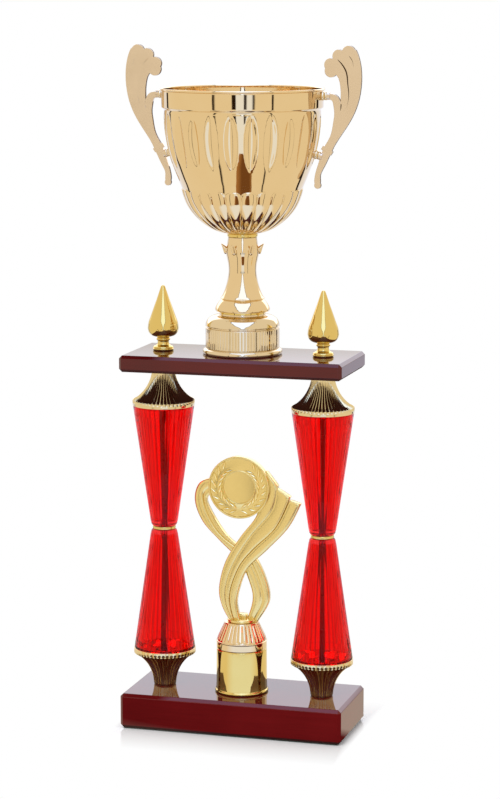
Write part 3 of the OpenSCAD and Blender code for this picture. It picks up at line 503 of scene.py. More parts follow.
def across_share(vertex, count, x=0.0, y=0.0):
    """Share from 0 to 1 of the way across one of so many equal parts round a vertical axis"""
    return atan2(vertex.co.y - y, vertex.co.x - x) / (2 * pi) * count % 1


def faces_out(vertex, x=0.0, y=0.0):
    """True where the surface looks away from a vertical axis"""
    return (vertex.co.x - x) * vertex.normal.x + (vertex.co.y - y) * vertex.normal.y > 0


print("a soft step a quarter of the way up:", ramp(0.25, 0, 1))

# %% [markdown]
# ## The columns
# A column is two hollow cones, narrow ends together, between two plated bells. The bells are concave
# flares with reeds that grow towards the rim and run over its edge, which leaves a row of small scallops.
# The foot is modelled once; its copies are the other foot and, upside down, the two caps. The reeds come
# from a painted weight and a Displace modifier.

# %% Column bells
NECK_R, RIM_R, FLARE_R, FLARE_H, RIM_LOW, BELL_H = 9.2, 25.4, 22.0, 25.4, 27.2, 31.6
SPIGOT_R, SPIGOT_TOP, BELL_WALL, REED_DEPTH, REED_STEPS = 22.25, 33, 2.0, 1.3, 8
run, shoulder_h = FLARE_R - NECK_R, RIM_LOW - FLARE_H
bend = (FLARE_H ** 2 + run ** 2) / (2 * run)


def bell_arc(bend_r, start, end, steps):
    """Points of an arc round the middle of the flare's bend"""
    angles = [start + (end - start) * i / steps for i in range(steps + 1)]
    return [(NECK_R + bend - bend_r * cos(a), bend_r * sin(a)) for a in angles]


flare = bell_arc(bend, 0, asin(FLARE_H / bend), 26)
lining = bell_arc(bend + BELL_WALL, radians(50.4), radians(7), 12)
shoulder = [(FLARE_R + (RIM_R - FLARE_R) * i / 6, FLARE_H + shoulder_h * i / 6) for i in range(1, 6)]
bell_outline = [
    (ROD_BORE, 0), (NECK_R - 0.5, 0), *flare[1:], *shoulder,
    *stretch((FLARE_R, FLARE_H), (RIM_R, RIM_LOW, 0.4), (RIM_R, 29)),
    *[(RIM_R, h) for h in (28.0, 28.5, 29.0, 29.5, 30.2)],
    *filleted([(RIM_R, 30), (RIM_R, BELL_H, 0.5), (SPIGOT_R, BELL_H)])[1:],
    (SPIGOT_R, SPIGOT_TOP), (SPIGOT_R - BELL_WALL, SPIGOT_TOP), *lining, (ROD_BORE, 4)]
left_foot = turned("left_column_bell_foot", bell_outline, BELL_REEDS * REED_STEPS, (-COLUMN_X, 0, BASE_TOP))


def bell_valley(vertex):
    """Depth between the reeds: little at the neck, full at the rim's edge, gone half way across the rim"""
    h = (vertex.co.z - BASE_TOP) / MM
    across = abs(2 * across_share(vertex, BELL_REEDS, -COLUMN_X) - 1) ** 1.4
    return ramp(h, -3, 27) * (1 - ramp(h, 27.8, 29.8)) * across * faces_out(vertex, -COLUMN_X)


embossed(left_foot, -REED_DEPTH, bell_valley)
print("bell reeds are", round(2 * pi * FLARE_R / BELL_REEDS, 1), "mm apart")

# %% Bells in place
TO_RIGHT, UPSIDE_DOWN = (2 * COLUMN_X, 0, 0), (1, 1, -1)
MIDDLE = (0, 0, (BASE_TOP + BOARD_LOW) / 2)


def four_of(left_low, right_low, left_high, right_high):
    """A piece low on the left column, and its copies of these names on the right and, upside down, above"""
    return [left_low, copied(left_low, right_low, TO_RIGHT),
            copied(left_low, left_high, scale=UPSIDE_DOWN, centre=MIDDLE),
            copied(left_low, right_high, TO_RIGHT, UPSIDE_DOWN, centre=MIDDLE)]


bells = four_of(left_foot, "right_column_bell_foot", "left_column_bell_cap", "right_column_bell_cap")
BELL_NODES = ("left_column_foot", "right_column_foot", "left_column_cap", "right_column_cap")
for bell, node, finish in zip(bells, BELL_NODES, (worn_sheen_plate, worn_sheen_plate, bell_plate, bell_plate)):
    dressed(bell, finish, "stand", "yellow_gold", node, crease=50)

# %% [markdown]
# The cones are hollow with a wall of 2.6 mm, and both the wall and the shallow reeds on it matter: the
# edge of the wall makes the darker strip along each side, and the valleys between the reeds bend the light,
# while painted shade draws them as fine dark lines.

# %% Red cones
WIDE_R, TIP_R, CONE_H, CONE_WALL, SOCKET_H, VALLEY_DEPTH = 25.1, 10.6, 99.7, 2.6, 7.5, 0.3
LOWER_CONE_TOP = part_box("left_lower_cone")[1].z


def up_wall(start, end, inset, count):
    """Points along the cone's straight wall, or so far inside it"""
    heights = [start + (end - start) * i / count for i in range(count + 1)]
    return [(TIP_R + (WIDE_R - TIP_R) * h / CONE_H - inset, h) for h in heights]


cone_outline = [
    *filleted([(ROD_BORE, 0), (TIP_R - 0.9, 0, 0.5), (TIP_R + 0.2, 1.8, 0.6), (TIP_R, 4)])[:-1],
    *up_wall(3.5, CONE_H - 0.4, 0, 14), (WIDE_R - 0.4, CONE_H), (WIDE_R - CONE_WALL, CONE_H),
    (WIDE_R - CONE_WALL, CONE_H - SOCKET_H), *up_wall(CONE_H - SOCKET_H, 4, CONE_WALL, 12), (ROD_BORE, 4)]
left_cone = turned("left_lower_red_cone", cone_outline, CONE_REEDS * REED_STEPS,
                   (-COLUMN_X, 0, LOWER_CONE_TOP), axis=(0, 0, -1))


def cone_valley(vertex):
    h = (LOWER_CONE_TOP - vertex.co.z) / MM
    across = abs(2 * across_share(vertex, CONE_REEDS, -COLUMN_X) - 1) ** 3
    return ramp(h, 3, 8) * (1 - ramp(h, 98, 99.5)) * across * faces_out(vertex, -COLUMN_X)


embossed(left_cone, -VALLEY_DEPTH, cone_valley)
cones = four_of(left_cone, "right_lower_red_cone", "left_upper_red_cone", "right_upper_red_cone")
CONE_NODES = ("left_lower_cone", "right_lower_cone", "left_upper_cone", "right_upper_cone")
for cone, node in zip(cones, CONE_NODES):
    dressed(cone, red_plastic, "stand", "red_plastic", node)

# %% [markdown]
# Between the two cones of a column sits a thin gold ring with a half-round edge, like a washer that was
# turned from bar. Its outline is a strip with one well-filleted side.

# %% Waist rings
RING_R, RING_H, RING_ROUND = 9.6, 3, 1.4
WAIST_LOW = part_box("left_waist_ring")[0].z
ring_outline = filleted([(ROD_BORE, 0), (RING_R, 0, RING_ROUND), (RING_R, RING_H, RING_ROUND),
                         (ROD_BORE, RING_H)], 6)
left_ring = turned("left_waist_bead", ring_outline, 96, (-COLUMN_X, 0, WAIST_LOW))
right_ring = copied(left_ring, "right_waist_bead", TO_RIGHT)
dressed(left_ring, yellow_gold, "stand", "yellow_gold", "left_waist_ring")
dressed(right_ring, yellow_gold, "stand", "yellow_gold", "right_waist_ring")

# %% [markdown]
# ## The finials
# Each finial is a turned drop that screws down on a tie rod: a grooved collar, a short neck with a ring
# and a bulb that runs up into a spire. The outline passes through radii read along its height.

# %% Finials
THREAD_R, THREAD_TOP = 2.55, 23.2
collar_part = stretch((3, 1), (8.2, 0, 0.5), (8.6, 1.5, 0.6), (8.0, 1.9, 0.2), (8.4, 2.3, 0.5),
                      (7.6, 3.5, 0.5), (3, 4))
neck_part = smooth([(6.4, 3.9), (5.1, 4.9), (4.7, 6.4), (4.7, 7.6), (4.9, 8.2), (5.5, 8.6), (5.7, 9.2),
                    (5.5, 9.8), (5.0, 10.3), (5.3, 10.9)], 3)
spire_part = smooth([(6.6, 11.3), (9.6, 12.4), (11.7, 14.6), (12.6, 17.4), (12.6, 19.0), (12.0, 22.9),
                     (10.2, 27.8), (8.5, 32.6), (6.7, 37.6), (4.9, 42.5), (3.2, 47.6), (2.1, 50.8),
                     (1.5, 52.3), (0.7, 52.9), (0, 53)], 4)
finial_outline = [(THREAD_R, 0), *collar_part, *neck_part, *spire_part, (0, THREAD_TOP),
                  (THREAD_R, THREAD_TOP)]
left_finial = turned("left_spire_finial", finial_outline, 96, (-COLUMN_X, 0, BOARD_TOP))
right_finial = copied(left_finial, "right_spire_finial", TO_RIGHT)
dressed(left_finial, yellow_gold, "left_finial", "yellow_gold", "left_finial", crease=60)
dressed(right_finial, yellow_gold, "right_finial", "yellow_gold", "right_finial", crease=60)

# %% [markdown]
# ## The cup's foot
# The foot is a moulded drum: a rounded lip on the board, a ring of fine upright ribs, a groove, a plain
# band and a dome with a seat for the stem. The ribs are embossed on the turned drum.

# %% Cup foot
DRUM_R, DRUM_RIBS, RIB_DEPTH, FOOT_H, FOOT_ROOF = 30.1, 72, 0.3, 33, 29.4
RIB_R, GROOVE_R, INNER_R = DRUM_R - 0.3, DRUM_R - 1.1, 27.9
lip = stretch((27, 1), (31.6, 0, 0.6), (32.1, 1.6, 1.2), (31.8, 3.6, 1.2), (30.6, 4.4, 0.4),
              (DRUM_R - 0.4, 4.8, 0.2), (27, 6))
groove = stretch((27, 20), (RIB_R, 21.3, 0.2), (GROOVE_R, 21.6, 0.2), (GROOVE_R, 22.4, 0.2),
                 (DRUM_R, 22.7, 0.3), (27, 24))
dome = smooth([(DRUM_R - 0.1, 23.2), (29.4, 25.6), (27.4, 28.6), (23.9, 30.7), (19.6, 31.6)], 5)
seat = stretch((18, 31), (18.7, 31.7, 0.2), (18.5, FOOT_H, 0.3), (10, FOOT_H))
foot_outline = [(INNER_R, 0), *lip, *[(RIB_R, h) for h in (5.2, 5.6, 6.0, 10, 14, 18, 20.2, 20.6, 21.0)],
                *groove, *dome, *seat, (CUP_BORE, FOOT_H), (CUP_BORE, FOOT_ROOF), (18.5, FOOT_ROOF),
                (INNER_R, 21.4)]
cup_foot = turned("ribbed_cup_foot", foot_outline, DRUM_RIBS * REED_STEPS, (0, 0, BOARD_TOP))


def drum_groove(vertex):
    """Narrow grooves that leave broad flat ribs"""
    h = (vertex.co.z - BOARD_TOP) / MM
    narrow = 1 - ramp(sin(pi * across_share(vertex, DRUM_RIBS)), 0.0, 0.37)
    return ramp(h, 5.2, 6.0) * (1 - ramp(h, 20.2, 21.0)) * narrow * faces_out(vertex)


embossed(cup_foot, -RIB_DEPTH, drum_groove)
dressed(cup_foot, pale_champagne, "cup", "pale_gold", "cup_foot", crease=45)

# %% [markdown]
# ## The stem
# The stem has a broad ledge, a crease with a thin bead, a slim waist and a ring of six leaves that curl
# outwards. The body is turned. A leaf is lofted over a few sections; no operator lofts drawn sections, so
# a grid primitive is laid on them row by row. The leaf is made once and copied round.

# %% Stem body
stem_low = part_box("cup_stem")[0].z
SEAT_H, STEM_H = 1.5, 60.8
ledge = stretch((10, 1), (18.6, 0, 0.1), (18.6, SEAT_H, 0.2), (21.4, SEAT_H, 0.3), (22.1, 2.4, 0.6),
                (22.2, 3.2, 0.6), (20, 8))
slope = smooth([(21.7, 4.6), (20.4, 7.0), (18.8, 9.2), (17.7, 10.4)], 4)
bead = smooth([(17.4, 10.7), (17.0, 11.0), (17.3, 11.4), (17.7, 11.9), (17.3, 12.5)], 3)
waist = smooth([(16.4, 13.6), (14.5, 18.0), (12.7, 24.0), (11.5, 30.5), (11.2, 34.5), (11.5, 39.0),
                (12.5, 44.0), (13.1, 47.0), (13.0, 50.5), (12.4, 55.5), (11.9, 59.0)], 6)
stem_outline = [(CUP_BORE, 0), *ledge, *slope, *bead, *waist, (11.7, STEM_H), (CUP_BORE, STEM_H)]
stem = turned("turned_cup_stem", stem_outline, 144, (0, 0, stem_low))

# %% Stem leaf
# Along a leaf, from its root in the stem to its tip: radius and height of its middle, half its width and
# half its thickness
LEAF_STATIONS = [(11.6, 48.2, 2.3, 3.6), (13.2, 50.6, 2.5, 2.7), (14.4, 52.3, 2.3, 1.9),
                 (15.6, 53.9, 1.8, 1.1), (16.6, 55.1, 1.2, 0.5), (17.0, 55.6, 0.7, 0.2)]
LEAF_SIDES, LEAN_BACK, LEAN_UP = 12, 0.75, 0.66


def lofted(name, sections):
    """A closed skin over closed sections: a grid laid on them, its seam merged and its ends filled"""
    around = len(sections[0])
    bpy.ops.object.select_all(action="DESELECT")
    bpy.ops.mesh.primitive_grid_add(x_subdivisions=around, y_subdivisions=len(sections) - 1, size=1)
    piece = bpy.context.object
    piece.name = name
    corners = [c for row in sections for point in [*row, row[0]] for c in point]
    piece.data.vertices.foreach_set("co", corners)
    bpy.ops.object.mode_set(mode="EDIT")
    bpy.ops.mesh.select_all(action="SELECT")
    bpy.ops.mesh.remove_doubles(threshold=1e-6)
    bpy.ops.mesh.fill_holes(sides=0)
    bpy.ops.mesh.normals_make_consistent(inside=False)
    bpy.ops.object.mode_set(mode="OBJECT")
    return piece


leaf_sections = []
for r, h, half_wide, half_thick in LEAF_STATIONS:
    angles = [2 * pi * i / LEAF_SIDES for i in range(LEAF_SIDES)]
    ring = [(half_wide * cos(a), half_thick * sin(a)) for a in angles]
    # The sections lean back, square to the leaf's run
    points = [Vector((r - LEAN_BACK * up, across, h + LEAN_UP * up)) for across, up in ring]
    leaf_sections.append([point * MM + Vector((0, 0, stem_low)) for point in points])
leaf = lofted("stem_leaf", leaf_sections)
modified(leaf, "SUBSURF", levels=1, render_levels=1)
print("leaf with", len(leaf.data.polygons), "faces")

# %% Leaves round the stem
STEM_LEAVES, FIRST_LEAF_TURN = 6, 16


def joined(name, pieces):
    """Several pieces as one object"""
    pick(pieces[0])
    for piece in pieces:
        piece.select_set(True)
    bpy.ops.object.join()
    pieces[0].name = name
    return pieces[0]


leaf_turns = [radians(FIRST_LEAF_TURN + 360 / STEM_LEAVES * i) for i in range(STEM_LEAVES)]
leaves = [copied(leaf, "stem_leaf_copy", turn=turn) for turn in leaf_turns]
bpy.data.objects.remove(leaf)
stem = joined("leafed_cup_stem", [stem, *leaves])
dressed(stem, champagne, "cup", "pale_gold", "cup_stem", crease=50)
# The low ring on which the stem stands is a deeper gold
stem.data.materials.append(yellow_gold)
for face in stem.data.polygons:
    face.material_index = int(face.center.z < stem_low + SEAT_H * MM)

# %% [markdown]
# A bright ring lies between the stem and the bowl, made like the waist rings.

# %% Collar
COLLAR_R, COLLAR_H, COLLAR_ROUND = 12.3, 3.6, 1.6
collar_outline = filleted([(CUP_BORE, 0), (COLLAR_R, 0, COLLAR_ROUND), (COLLAR_R, COLLAR_H, COLLAR_ROUND),
                           (CUP_BORE, COLLAR_H)], 6)
collar = turned("bowl_collar_bead", collar_outline, 96, (0, 0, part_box("bowl_collar")[0].z))
dressed(collar, yellow_gold, "cup", "yellow_gold", "bowl_collar")

# %% [markdown]
# ## The bowl
# The bowl is pressed from thin sheet. Its wall is spun first, as one closed outline of the outside, the
# rolled rim and the inside. The press pattern repeats 24 times: a tall oval on the side and a round-topped
# lobe below it, parted by sharp valleys. Both faces of a pressed sheet move together, so the inside
# follows the same pattern.

# %% Bowl wall
bowl_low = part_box("cup_bowl")[0].z
LOBES, LOBE_STEPS, SHEET, BOWL_FLOOR_R, RIM_ROUND = 24, 18, 1.1, 13.5, 0.9
wall_curve = smooth([(17.1, 0.4), (22.9, 2.4), (27.9, 5.2), (34.3, 10.0), (39.0, 14.8), (42.7, 19.6),
                     (45.4, 24.4), (47.4, 29.2), (49.2, 33.9), (51.0, 38.7), (52.6, 43.5), (55.4, 53.1),
                     (57.6, 60.2), (59.4, 67.3), (60.8, 74.5), (61.8, 81.7), (62.3, 88.0), (62.5, 96.4)], 16)
# More rings where the lobes' arched tops need them
bowl_side = [point for i, point in enumerate(wall_curve) if i % 4 == 0 or 29 < point.y < 36]
band = stretch((60, 95), (62.5, 98.2, 0.3), (64.4, 99.8, 0.4), (64.43, 101), (64.69, 111.6),
               (64.7, 112.8, 0.3), (60, 114))
rim_angles = [radians(-60 + 36 * i) for i in range(8)]
rim = [(64.6 + RIM_ROUND * cos(a), 113.9 + RIM_ROUND * sin(a)) for a in rim_angles]
inside = [(63.85, 113.2), (63.83, 112.6), (63.5, 101.6), (63.4, 100.8), (61.5, 97.8),
          *[(r - SHEET, max(h, SHEET)) for r, h in reversed(bowl_side[::2])], (BOWL_FLOOR_R, SHEET)]
bowl_outline = [(CUP_BORE, 0), (BOWL_FLOOR_R, 0), (15.2, 0.05), *bowl_side, *band, *rim, *inside,
                (CUP_BORE, SHEET)]
bowl = turned("pressed_cup_bowl", bowl_outline, LOBES * LOBE_STEPS, (0, 0, bowl_low))
print("bowl wall has", len(bowl.data.vertices), "points")

# %% Bowl pattern
PATTERN_LOW, PATTERN_TOP = 0.3, 96
OVAL_MIDDLE, OVAL_HALF_H, OVAL_HALF_W, OVAL_DEPTH = 74.0, 19.8, 5.4, 2.0
ARCH_LOW, ARCH_RISE, LOBE_SWELL, LOBE_DEPTH = 30.4, 4.4, 0.9, 3.3


def pattern_place(vertex, face):
    """Height, radius and share across the pattern, or None off the outside (1) or inside (-1)"""
    h = (vertex.co.z - bowl_low) / MM
    if h < PATTERN_LOW or h > PATTERN_TOP or faces_out(vertex) != (face > 0):
        return None
    return h, hypot(vertex.co.x, vertex.co.y) / MM, across_share(vertex, LOBES) - 0.5


def oval(vertex, face):
    """A trough with an oval edge and steep ends"""
    here = pattern_place(vertex, face)
    if not here or abs(here[0] - OVAL_MIDDLE) >= OVAL_HALF_H:
        return 0
    h, r, across = here
    end = ((h - OVAL_MIDDLE) / OVAL_HALF_H) ** 2
    inner = 1 - (across * 2 * pi * r / LOBES / OVAL_HALF_W) ** 2 / (1 - end)
    return max(0, inner) ** 1.1 * sqrt(1 - end * end)


def valley(vertex, face):
    """Depth below the lobes' crests: the wall above their arched tops, their round tops and the valleys"""
    here = pattern_place(vertex, face)
    if not here:
        return 0
    h, r, across = here
    arch = sqrt(max(0, 1 - 4 * across * across))
    below = ARCH_LOW + ARCH_RISE * arch - h
    slack = 0.8 + 1.7 * (1 - ramp(h, 10, 30))
    trough = slack * (r / 48) * (0.5 * (2 * across) ** 2 + 0.5 * (1 - arch))
    lobe = LOBE_SWELL * exp(-max(0, below) / 3.2) + trough
    wall = (LOBE_SWELL + 0.7) * (1 - ramp(h, 34, 60))
    return (lobe + (wall - lobe) * ramp(-below, -0.2, 0.4)) / LOBE_DEPTH


for face in (1, -1):
    embossed(bowl, -LOBE_DEPTH * face, lambda vertex: valley(vertex, face))
    embossed(bowl, -OVAL_DEPTH * face, lambda vertex: oval(vertex, face))
dressed(bowl, bowl_plate, "cup", "bowl_sheet", "cup_bowl", crease=60)

# %% [markdown]
# ## The handles
# The handles are flat castings with a scalloped scroll and engraved veins. The outline is right in the CAD
# plate, so a merged copy of it gets softened edges with a Bevel modifier, and the veins are cut into its
# front along drawn curves with thin wedges and a Boolean; on the right handle veins and edges carry painted
# shade. A small double bead rides on each boss between handle and bowl. The left handle is the mirrored
# casting; its veins go without the painted shade and stay bright, and its edges keep it.

# %% Handle plate
EDGE_ROUND = 0.3 * MM
handle = bpy.data.objects.new("right_scroll_handle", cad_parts["right_cup_handle"].data.copy())
bpy.context.scene.collection.objects.link(handle)
pick(handle)
handle.data.materials.clear()
handle.data.materials.append(handle_plate)
bpy.ops.object.mode_set(mode="EDIT")
bpy.ops.mesh.select_all(action="SELECT")
bpy.ops.mesh.remove_doubles(threshold=1e-6)
bpy.ops.mesh.dissolve_limited(angle_limit=radians(1))
bpy.ops.object.mode_set(mode="OBJECT")
modified(handle, "BEVEL", width=EDGE_ROUND, segments=2, limit_method="ANGLE", angle_limit=radians(50),
         use_clamp_overlap=False)
print("handle plate has", len(handle.data.vertices), "points")

# %% Handle veins
# Each vein: its curve, the most of its half width and its depth, in mm
LONG_VEIN = [(77.8, 137.8), (81.4, 134.1), (84.4, 129.4), (85.7, 124.7), (86.2, 119.1), (87.0, 111.6),
             (86.7, 106), (85, 99.5)]
OUTER_VEIN = [(87, 140.6), (88.8, 138.4), (90, 135.9), (91, 131)]
FORK_VEIN = [(80.9, 103.3), (80.8, 100.5), (80.4, 97.6)]
VEINS = [(LONG_VEIN, 0.65, 1.2), (OUTER_VEIN, 0.3, 0.5), (FORK_VEIN, 0.5, 1.0)]
PLATE_FRONT = -1.5
CUT_FROM = PLATE_FRONT - 0.2
cutters = []
for knots, half_wide, depth in VEINS:
    path, sections = smooth(knots, 5), []
    for i, (here, ahead) in enumerate(zip(path, path[1:])):
        # Fullest before the middle of the vein, and fading out along it
        full = sin(pi * ((i + 0.3) / len(path)) ** 0.6)
        aside = Vector((here.y - ahead.y, ahead.x - here.x)).normalized() * half_wide * full
        corners = [(here + aside, CUT_FROM), (here - aside, CUT_FROM), (here, PLATE_FRONT + depth * full)]
        sections.append([Vector((at.x, y, at.y)) * MM + Vector((0, 0, bowl_low)) for at, y in corners])
    cutters.append(lofted("vein_cutter", sections))
wedges = joined("vein_cutter", cutters)
wedges.data.materials.append(vein_and_edge_shade)
modified(handle, "BOOLEAN", operation="DIFFERENCE", object=wedges, solver="EXACT", material_mode="TRANSFER")
bpy.data.objects.remove(wedges)
bpy.ops.object.mode_set(mode="EDIT")
bpy.ops.mesh.select_all(action="SELECT")
bpy.ops.mesh.fill_holes(sides=0)
bpy.ops.object.mode_set(mode="OBJECT")
print("veins", len(VEINS), "leave", len(handle.data.polygons), "faces")

# %% Handle beads
# Each bead: its place across and above the bowl's foot, and how far its boss slopes down, in degrees
BEADS = [(63.9, 109.2, 0.0), (58.7, 63.6, 15.5)]
bead_rings = smooth([(3.0, 0.6), (3.4, 1.0), (3.7, 2.0), (3.4, 3.0), (3.0, 3.4), (3.2, 3.8), (3.4, 4.6),
                     (3.2, 5.4), (2.6, 5.9)], 3)
bead_outline = [(2.2, 0.6), *bead_rings, (2.2, 5.9)]
boss_places = [Vector((x * MM, 0, bowl_low + h * MM)) for x, h, _ in BEADS]
upper_bead = turned("upper_bead", bead_outline, 40, boss_places[0], (1, 0, 0), (0, 0, 1))
upper_bead.data.materials.append(pale_champagne)
lower_bead = copied(upper_bead, "lower_bead", boss_places[1] - boss_places[0], turn=radians(BEADS[1][2]),
                    axis="Y", centre=boss_places[0])
print("beads", upper_bead.name, lower_bead.name)

# %% Both handles
EDGE_TILT, BOSS_REACH, VEIN_AWAY = 0.35, 12 * MM, 0.2 * MM
PLATE, PAINTED_SHADE = 0, 1
# The painted shade darkens the plate's edges too, but not the round bosses
for face in handle.data.polygons:
    off_boss = min((face.center.xz - place.xz).length for place in boss_places)
    if abs(face.normal.y) < EDGE_TILT and off_boss > BOSS_REACH:
        face.material_index = PAINTED_SHADE
handle = joined("right_scroll_handle", [handle, upper_bead, lower_bead])
left_handle = copied(handle, "left_scroll_handle", scale=(-1, 1, 1))
# On the left handle the veins lose the painted shade; the edges keep it
for face in left_handle.data.polygons:
    if face.material_index == PAINTED_SHADE and abs(face.center.y) > VEIN_AWAY:
        face.material_index = PLATE
dressed(handle, None, "cup", "pale_gold", "right_cup_handle", flat=True)
dressed(left_handle, None, "cup", "pale_gold", "left_cup_handle", flat=True)

# %% [markdown]
# ## The riser and its neck
# The medal holder stands on a plated tube with a rolled foot, and a fluted neck tapers up from it. Both are
# turned; the neck's reeds are parted by grooves that are embossed above its plain band.

# %% Riser
TUBE_R, RISER_TOP, RISER_ROOF = 18.6, 36.3, 33.3
riser_outline = filleted([
    (TUBE_R, 0), (21.5, 0, 0.4), (21.9, 1.1, 0.8), (21.7, 2.2, 0.7), (20.9, 2.9, 0.3), (20.7, 8),
    (20.5, 35.7, 0.3), (20.1, RISER_TOP, 0.3), (ROD_BORE, RISER_TOP), (ROD_BORE, RISER_ROOF),
    (TUBE_R, RISER_ROOF)])
riser = turned("rolled_foot_riser", riser_outline, 128, (0, FIGURE_Y, BASE_TOP))
dressed(riser, yellow_gold, "figure", "yellow_gold", "figure_riser")

# %% Neck
NECK_REEDS, NECK_LOW, NECK_TOP, FLUTE_DEPTH = 30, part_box("riser_neck")[0].z, 25.2, 0.55
SOCKET_R, SOCKET_LOW = 7.15, 11
plain_band = filleted([
    (ROD_BORE, 3), (20.1, 3.02, 0.3), (20.5, 3.6, 0.3), (20.5, 8.7, 0.3), (20.8, 9.1, 0.2), (20.8, 9.7, 0.2),
    (20.2, 10.0, 0.2), (20, 12)])[:-1]
taper = smooth([(20.1, 10.4), (20.0, 11.2), (19.6, 12.5), (18.7, 14.6), (17.2, 17.8), (15.8, 20.8),
                (14.5, 23.6), (14.1, 24.5)], 4)
socket = filleted([(14, 24), (13.9, NECK_TOP, 0.4), (SOCKET_R, NECK_TOP), (SOCKET_R, SOCKET_LOW),
                   (ROD_BORE, SOCKET_LOW)])[1:]
neck_outline = [*plain_band, *taper, *socket]
neck = turned("reeded_riser_neck", neck_outline, NECK_REEDS * REED_STEPS, (0, FIGURE_Y, NECK_LOW))


def neck_groove(vertex):
    """Narrow grooves that leave broad flat reeds"""
    h = (vertex.co.z - NECK_LOW) / MM
    narrow = 1 - ramp(sin(pi * across_share(vertex, NECK_REEDS, 0, FIGURE_Y)), 0.0, 0.75)
    return ramp(h, 10.4, 11.4) * (1 - ramp(h, 23.6, 24.4)) * narrow * faces_out(vertex, 0, FIGURE_Y)


embossed(neck, -FLUTE_DEPTH, neck_groove)
dressed(neck, champagne, "figure", "pale_gold", "riser_neck", crease=50)

# %% [markdown]
# ## The medal figure
# Two crossing ribbons carry a medal. The front ribbon has three bands that end in steps like cut tails;
# the first two meet in a soft fold, the third behind a sharp crease. The back ribbon has a broad band, a
# valley and a narrow lip. Each is a loft between two edge curves that were read from the picture, with its
# folds drawn as set-backs from the face.

# %% A ribbon's band
FIGURE_LOW = NECK_LOW + 23 * MM
RIBBON_ROUND = 0.35 * MM


def along(knots, count):
    """Points at equal steps along a smooth curve through the knots"""
    path = smooth(knots, 10)
    lengths = [0.0]
    for here, there in zip(path, path[1:]):
        lengths.append(lengths[-1] + (there - here).length)
    points, k = [], 0
    for i in range(count):
        goal = lengths[-1] * i / (count - 1)
        while k < len(path) - 2 and lengths[k + 1] < goal:
            k += 1
        share = min(1, (goal - lengths[k]) / (lengths[k + 1] - lengths[k]))
        points.append(path[k].lerp(path[k + 1], share))
    return points


def ribbon_band(name, left, right, front, back, folds, cut=0.0, count=56):
    """A band between two edges, (across, height) in mm, with its faces at two depths and set back by its
    folds; its end is cut back too"""
    sections = []
    for i, (a, b) in enumerate(zip(along(left, count), along(right, count))):
        slope = cut * (i == 0)
        face = [(*a.lerp(b, s), front + d + slope) for s, d in folds]
        rear = [(*a.lerp(b, s), back - d) for s, d in reversed(folds)]
        foot = Vector((0, FIGURE_Y, FIGURE_LOW))
        sections.append([Vector((x, y, h)) * MM + foot for x, h, y in face + rear])
    piece = lofted(name, sections)
    modified(piece, "BEVEL", width=RIBBON_ROUND, segments=2, limit_method="ANGLE", angle_limit=radians(40))
    return piece


print("figure stands at", round(FIGURE_LOW / MM, 1), "mm")

# %% Ribbons
LEFT_EDGE = [(14, 92), (0, 73), (-12.5, 52), (-17.9, 30), (-15.3, 15), (-8, 2)]
FIRST_CREASE = [(27, 97), (9, 74.5), (-5, 52), (-11.7, 33), (-11.5, 17), (-5.5, 2)]
SECOND_CREASE = [(30, 82.5), (11, 63.5), (-1, 48), (-8.6, 26), (-6.5, 8), (-3, 2)]
RIGHT_EDGE = [(40, 82.5), (22, 63), (5.4, 46), (-2.4, 24), (-2, 12), (1, 2)]
BACK_OUTER = [(-20, 121), (-35.4, 115.7), (-40.0, 101), (-33.5, 83.5), (-19.1, 68.3), (-2, 52), (6, 36),
              (9.2, 21), (4, 2)]
BACK_INNER = [(-18, 112), (-29, 104), (-28, 95.5), (-16.6, 77), (-6.6, 67), (10, 57), (20.2, 38), (22.9, 20),
              (13, 2)]
# A band's folds: share of the way across it, and set-back in mm
FIRST_FOLDS = [(0, 1.4), (0.05, 0.6), (0.15, 0.2), (0.35, 0), (0.7, 0), (1, 0.15)]
SECOND_FOLDS = [(0, 0.35), (0.2, 0.2), (0.5, 0), (0.75, 0), (0.95, 0.15), (1, 0.9)]
THIRD_FOLDS = [(0, 0.9), (0.05, 0.15), (0.3, 0), (0.65, 0), (0.88, 0.2), (0.95, 0.5), (1, 1.2)]
BACK_FOLDS = [(0, 1.4), (0.04, 0.6), (0.12, 0.2), (0.3, 0), (0.48, 0.1), (0.56, 0.45), (0.61, 1.1),
              (0.67, 0.5), (0.8, 0.15), (0.94, 0.3), (1, 0.9)]
RIBBON_REAR, TAIL_CUT = 0.6, 0.5
ribbons = [
    ribbon_band("ribbon_1", [(21.8, 129), (18, 112), *LEFT_EDGE], [(31.6, 116.8), *FIRST_CREASE],
                -6.2, RIBBON_REAR, FIRST_FOLDS, TAIL_CUT),
    ribbon_band("ribbon_2", [(30.7, 115.2), *FIRST_CREASE], [(42.2, 108.3), *SECOND_CREASE],
                -6.4, RIBBON_REAR, SECOND_FOLDS, TAIL_CUT),
    ribbon_band("ribbon_3", [(41.6, 105.7), *SECOND_CREASE], [(50.8, 103), *RIGHT_EDGE],
                -6.0, RIBBON_REAR, THIRD_FOLDS, TAIL_CUT),
    ribbon_band("ribbon_4", BACK_OUTER, BACK_INNER, -1.0, 5.6, BACK_FOLDS)]
print("ribbon bands", len(ribbons))

# %% [markdown]
# The medal is a thick disc with a raised edge and a bare round recess for a printed centre. A laurel wreath
# runs round the recess: small pointed leaves in pairs on two branches that meet below and stay open above.
# One leaf of a few faces is lofted, and its copies are turned along the branches.

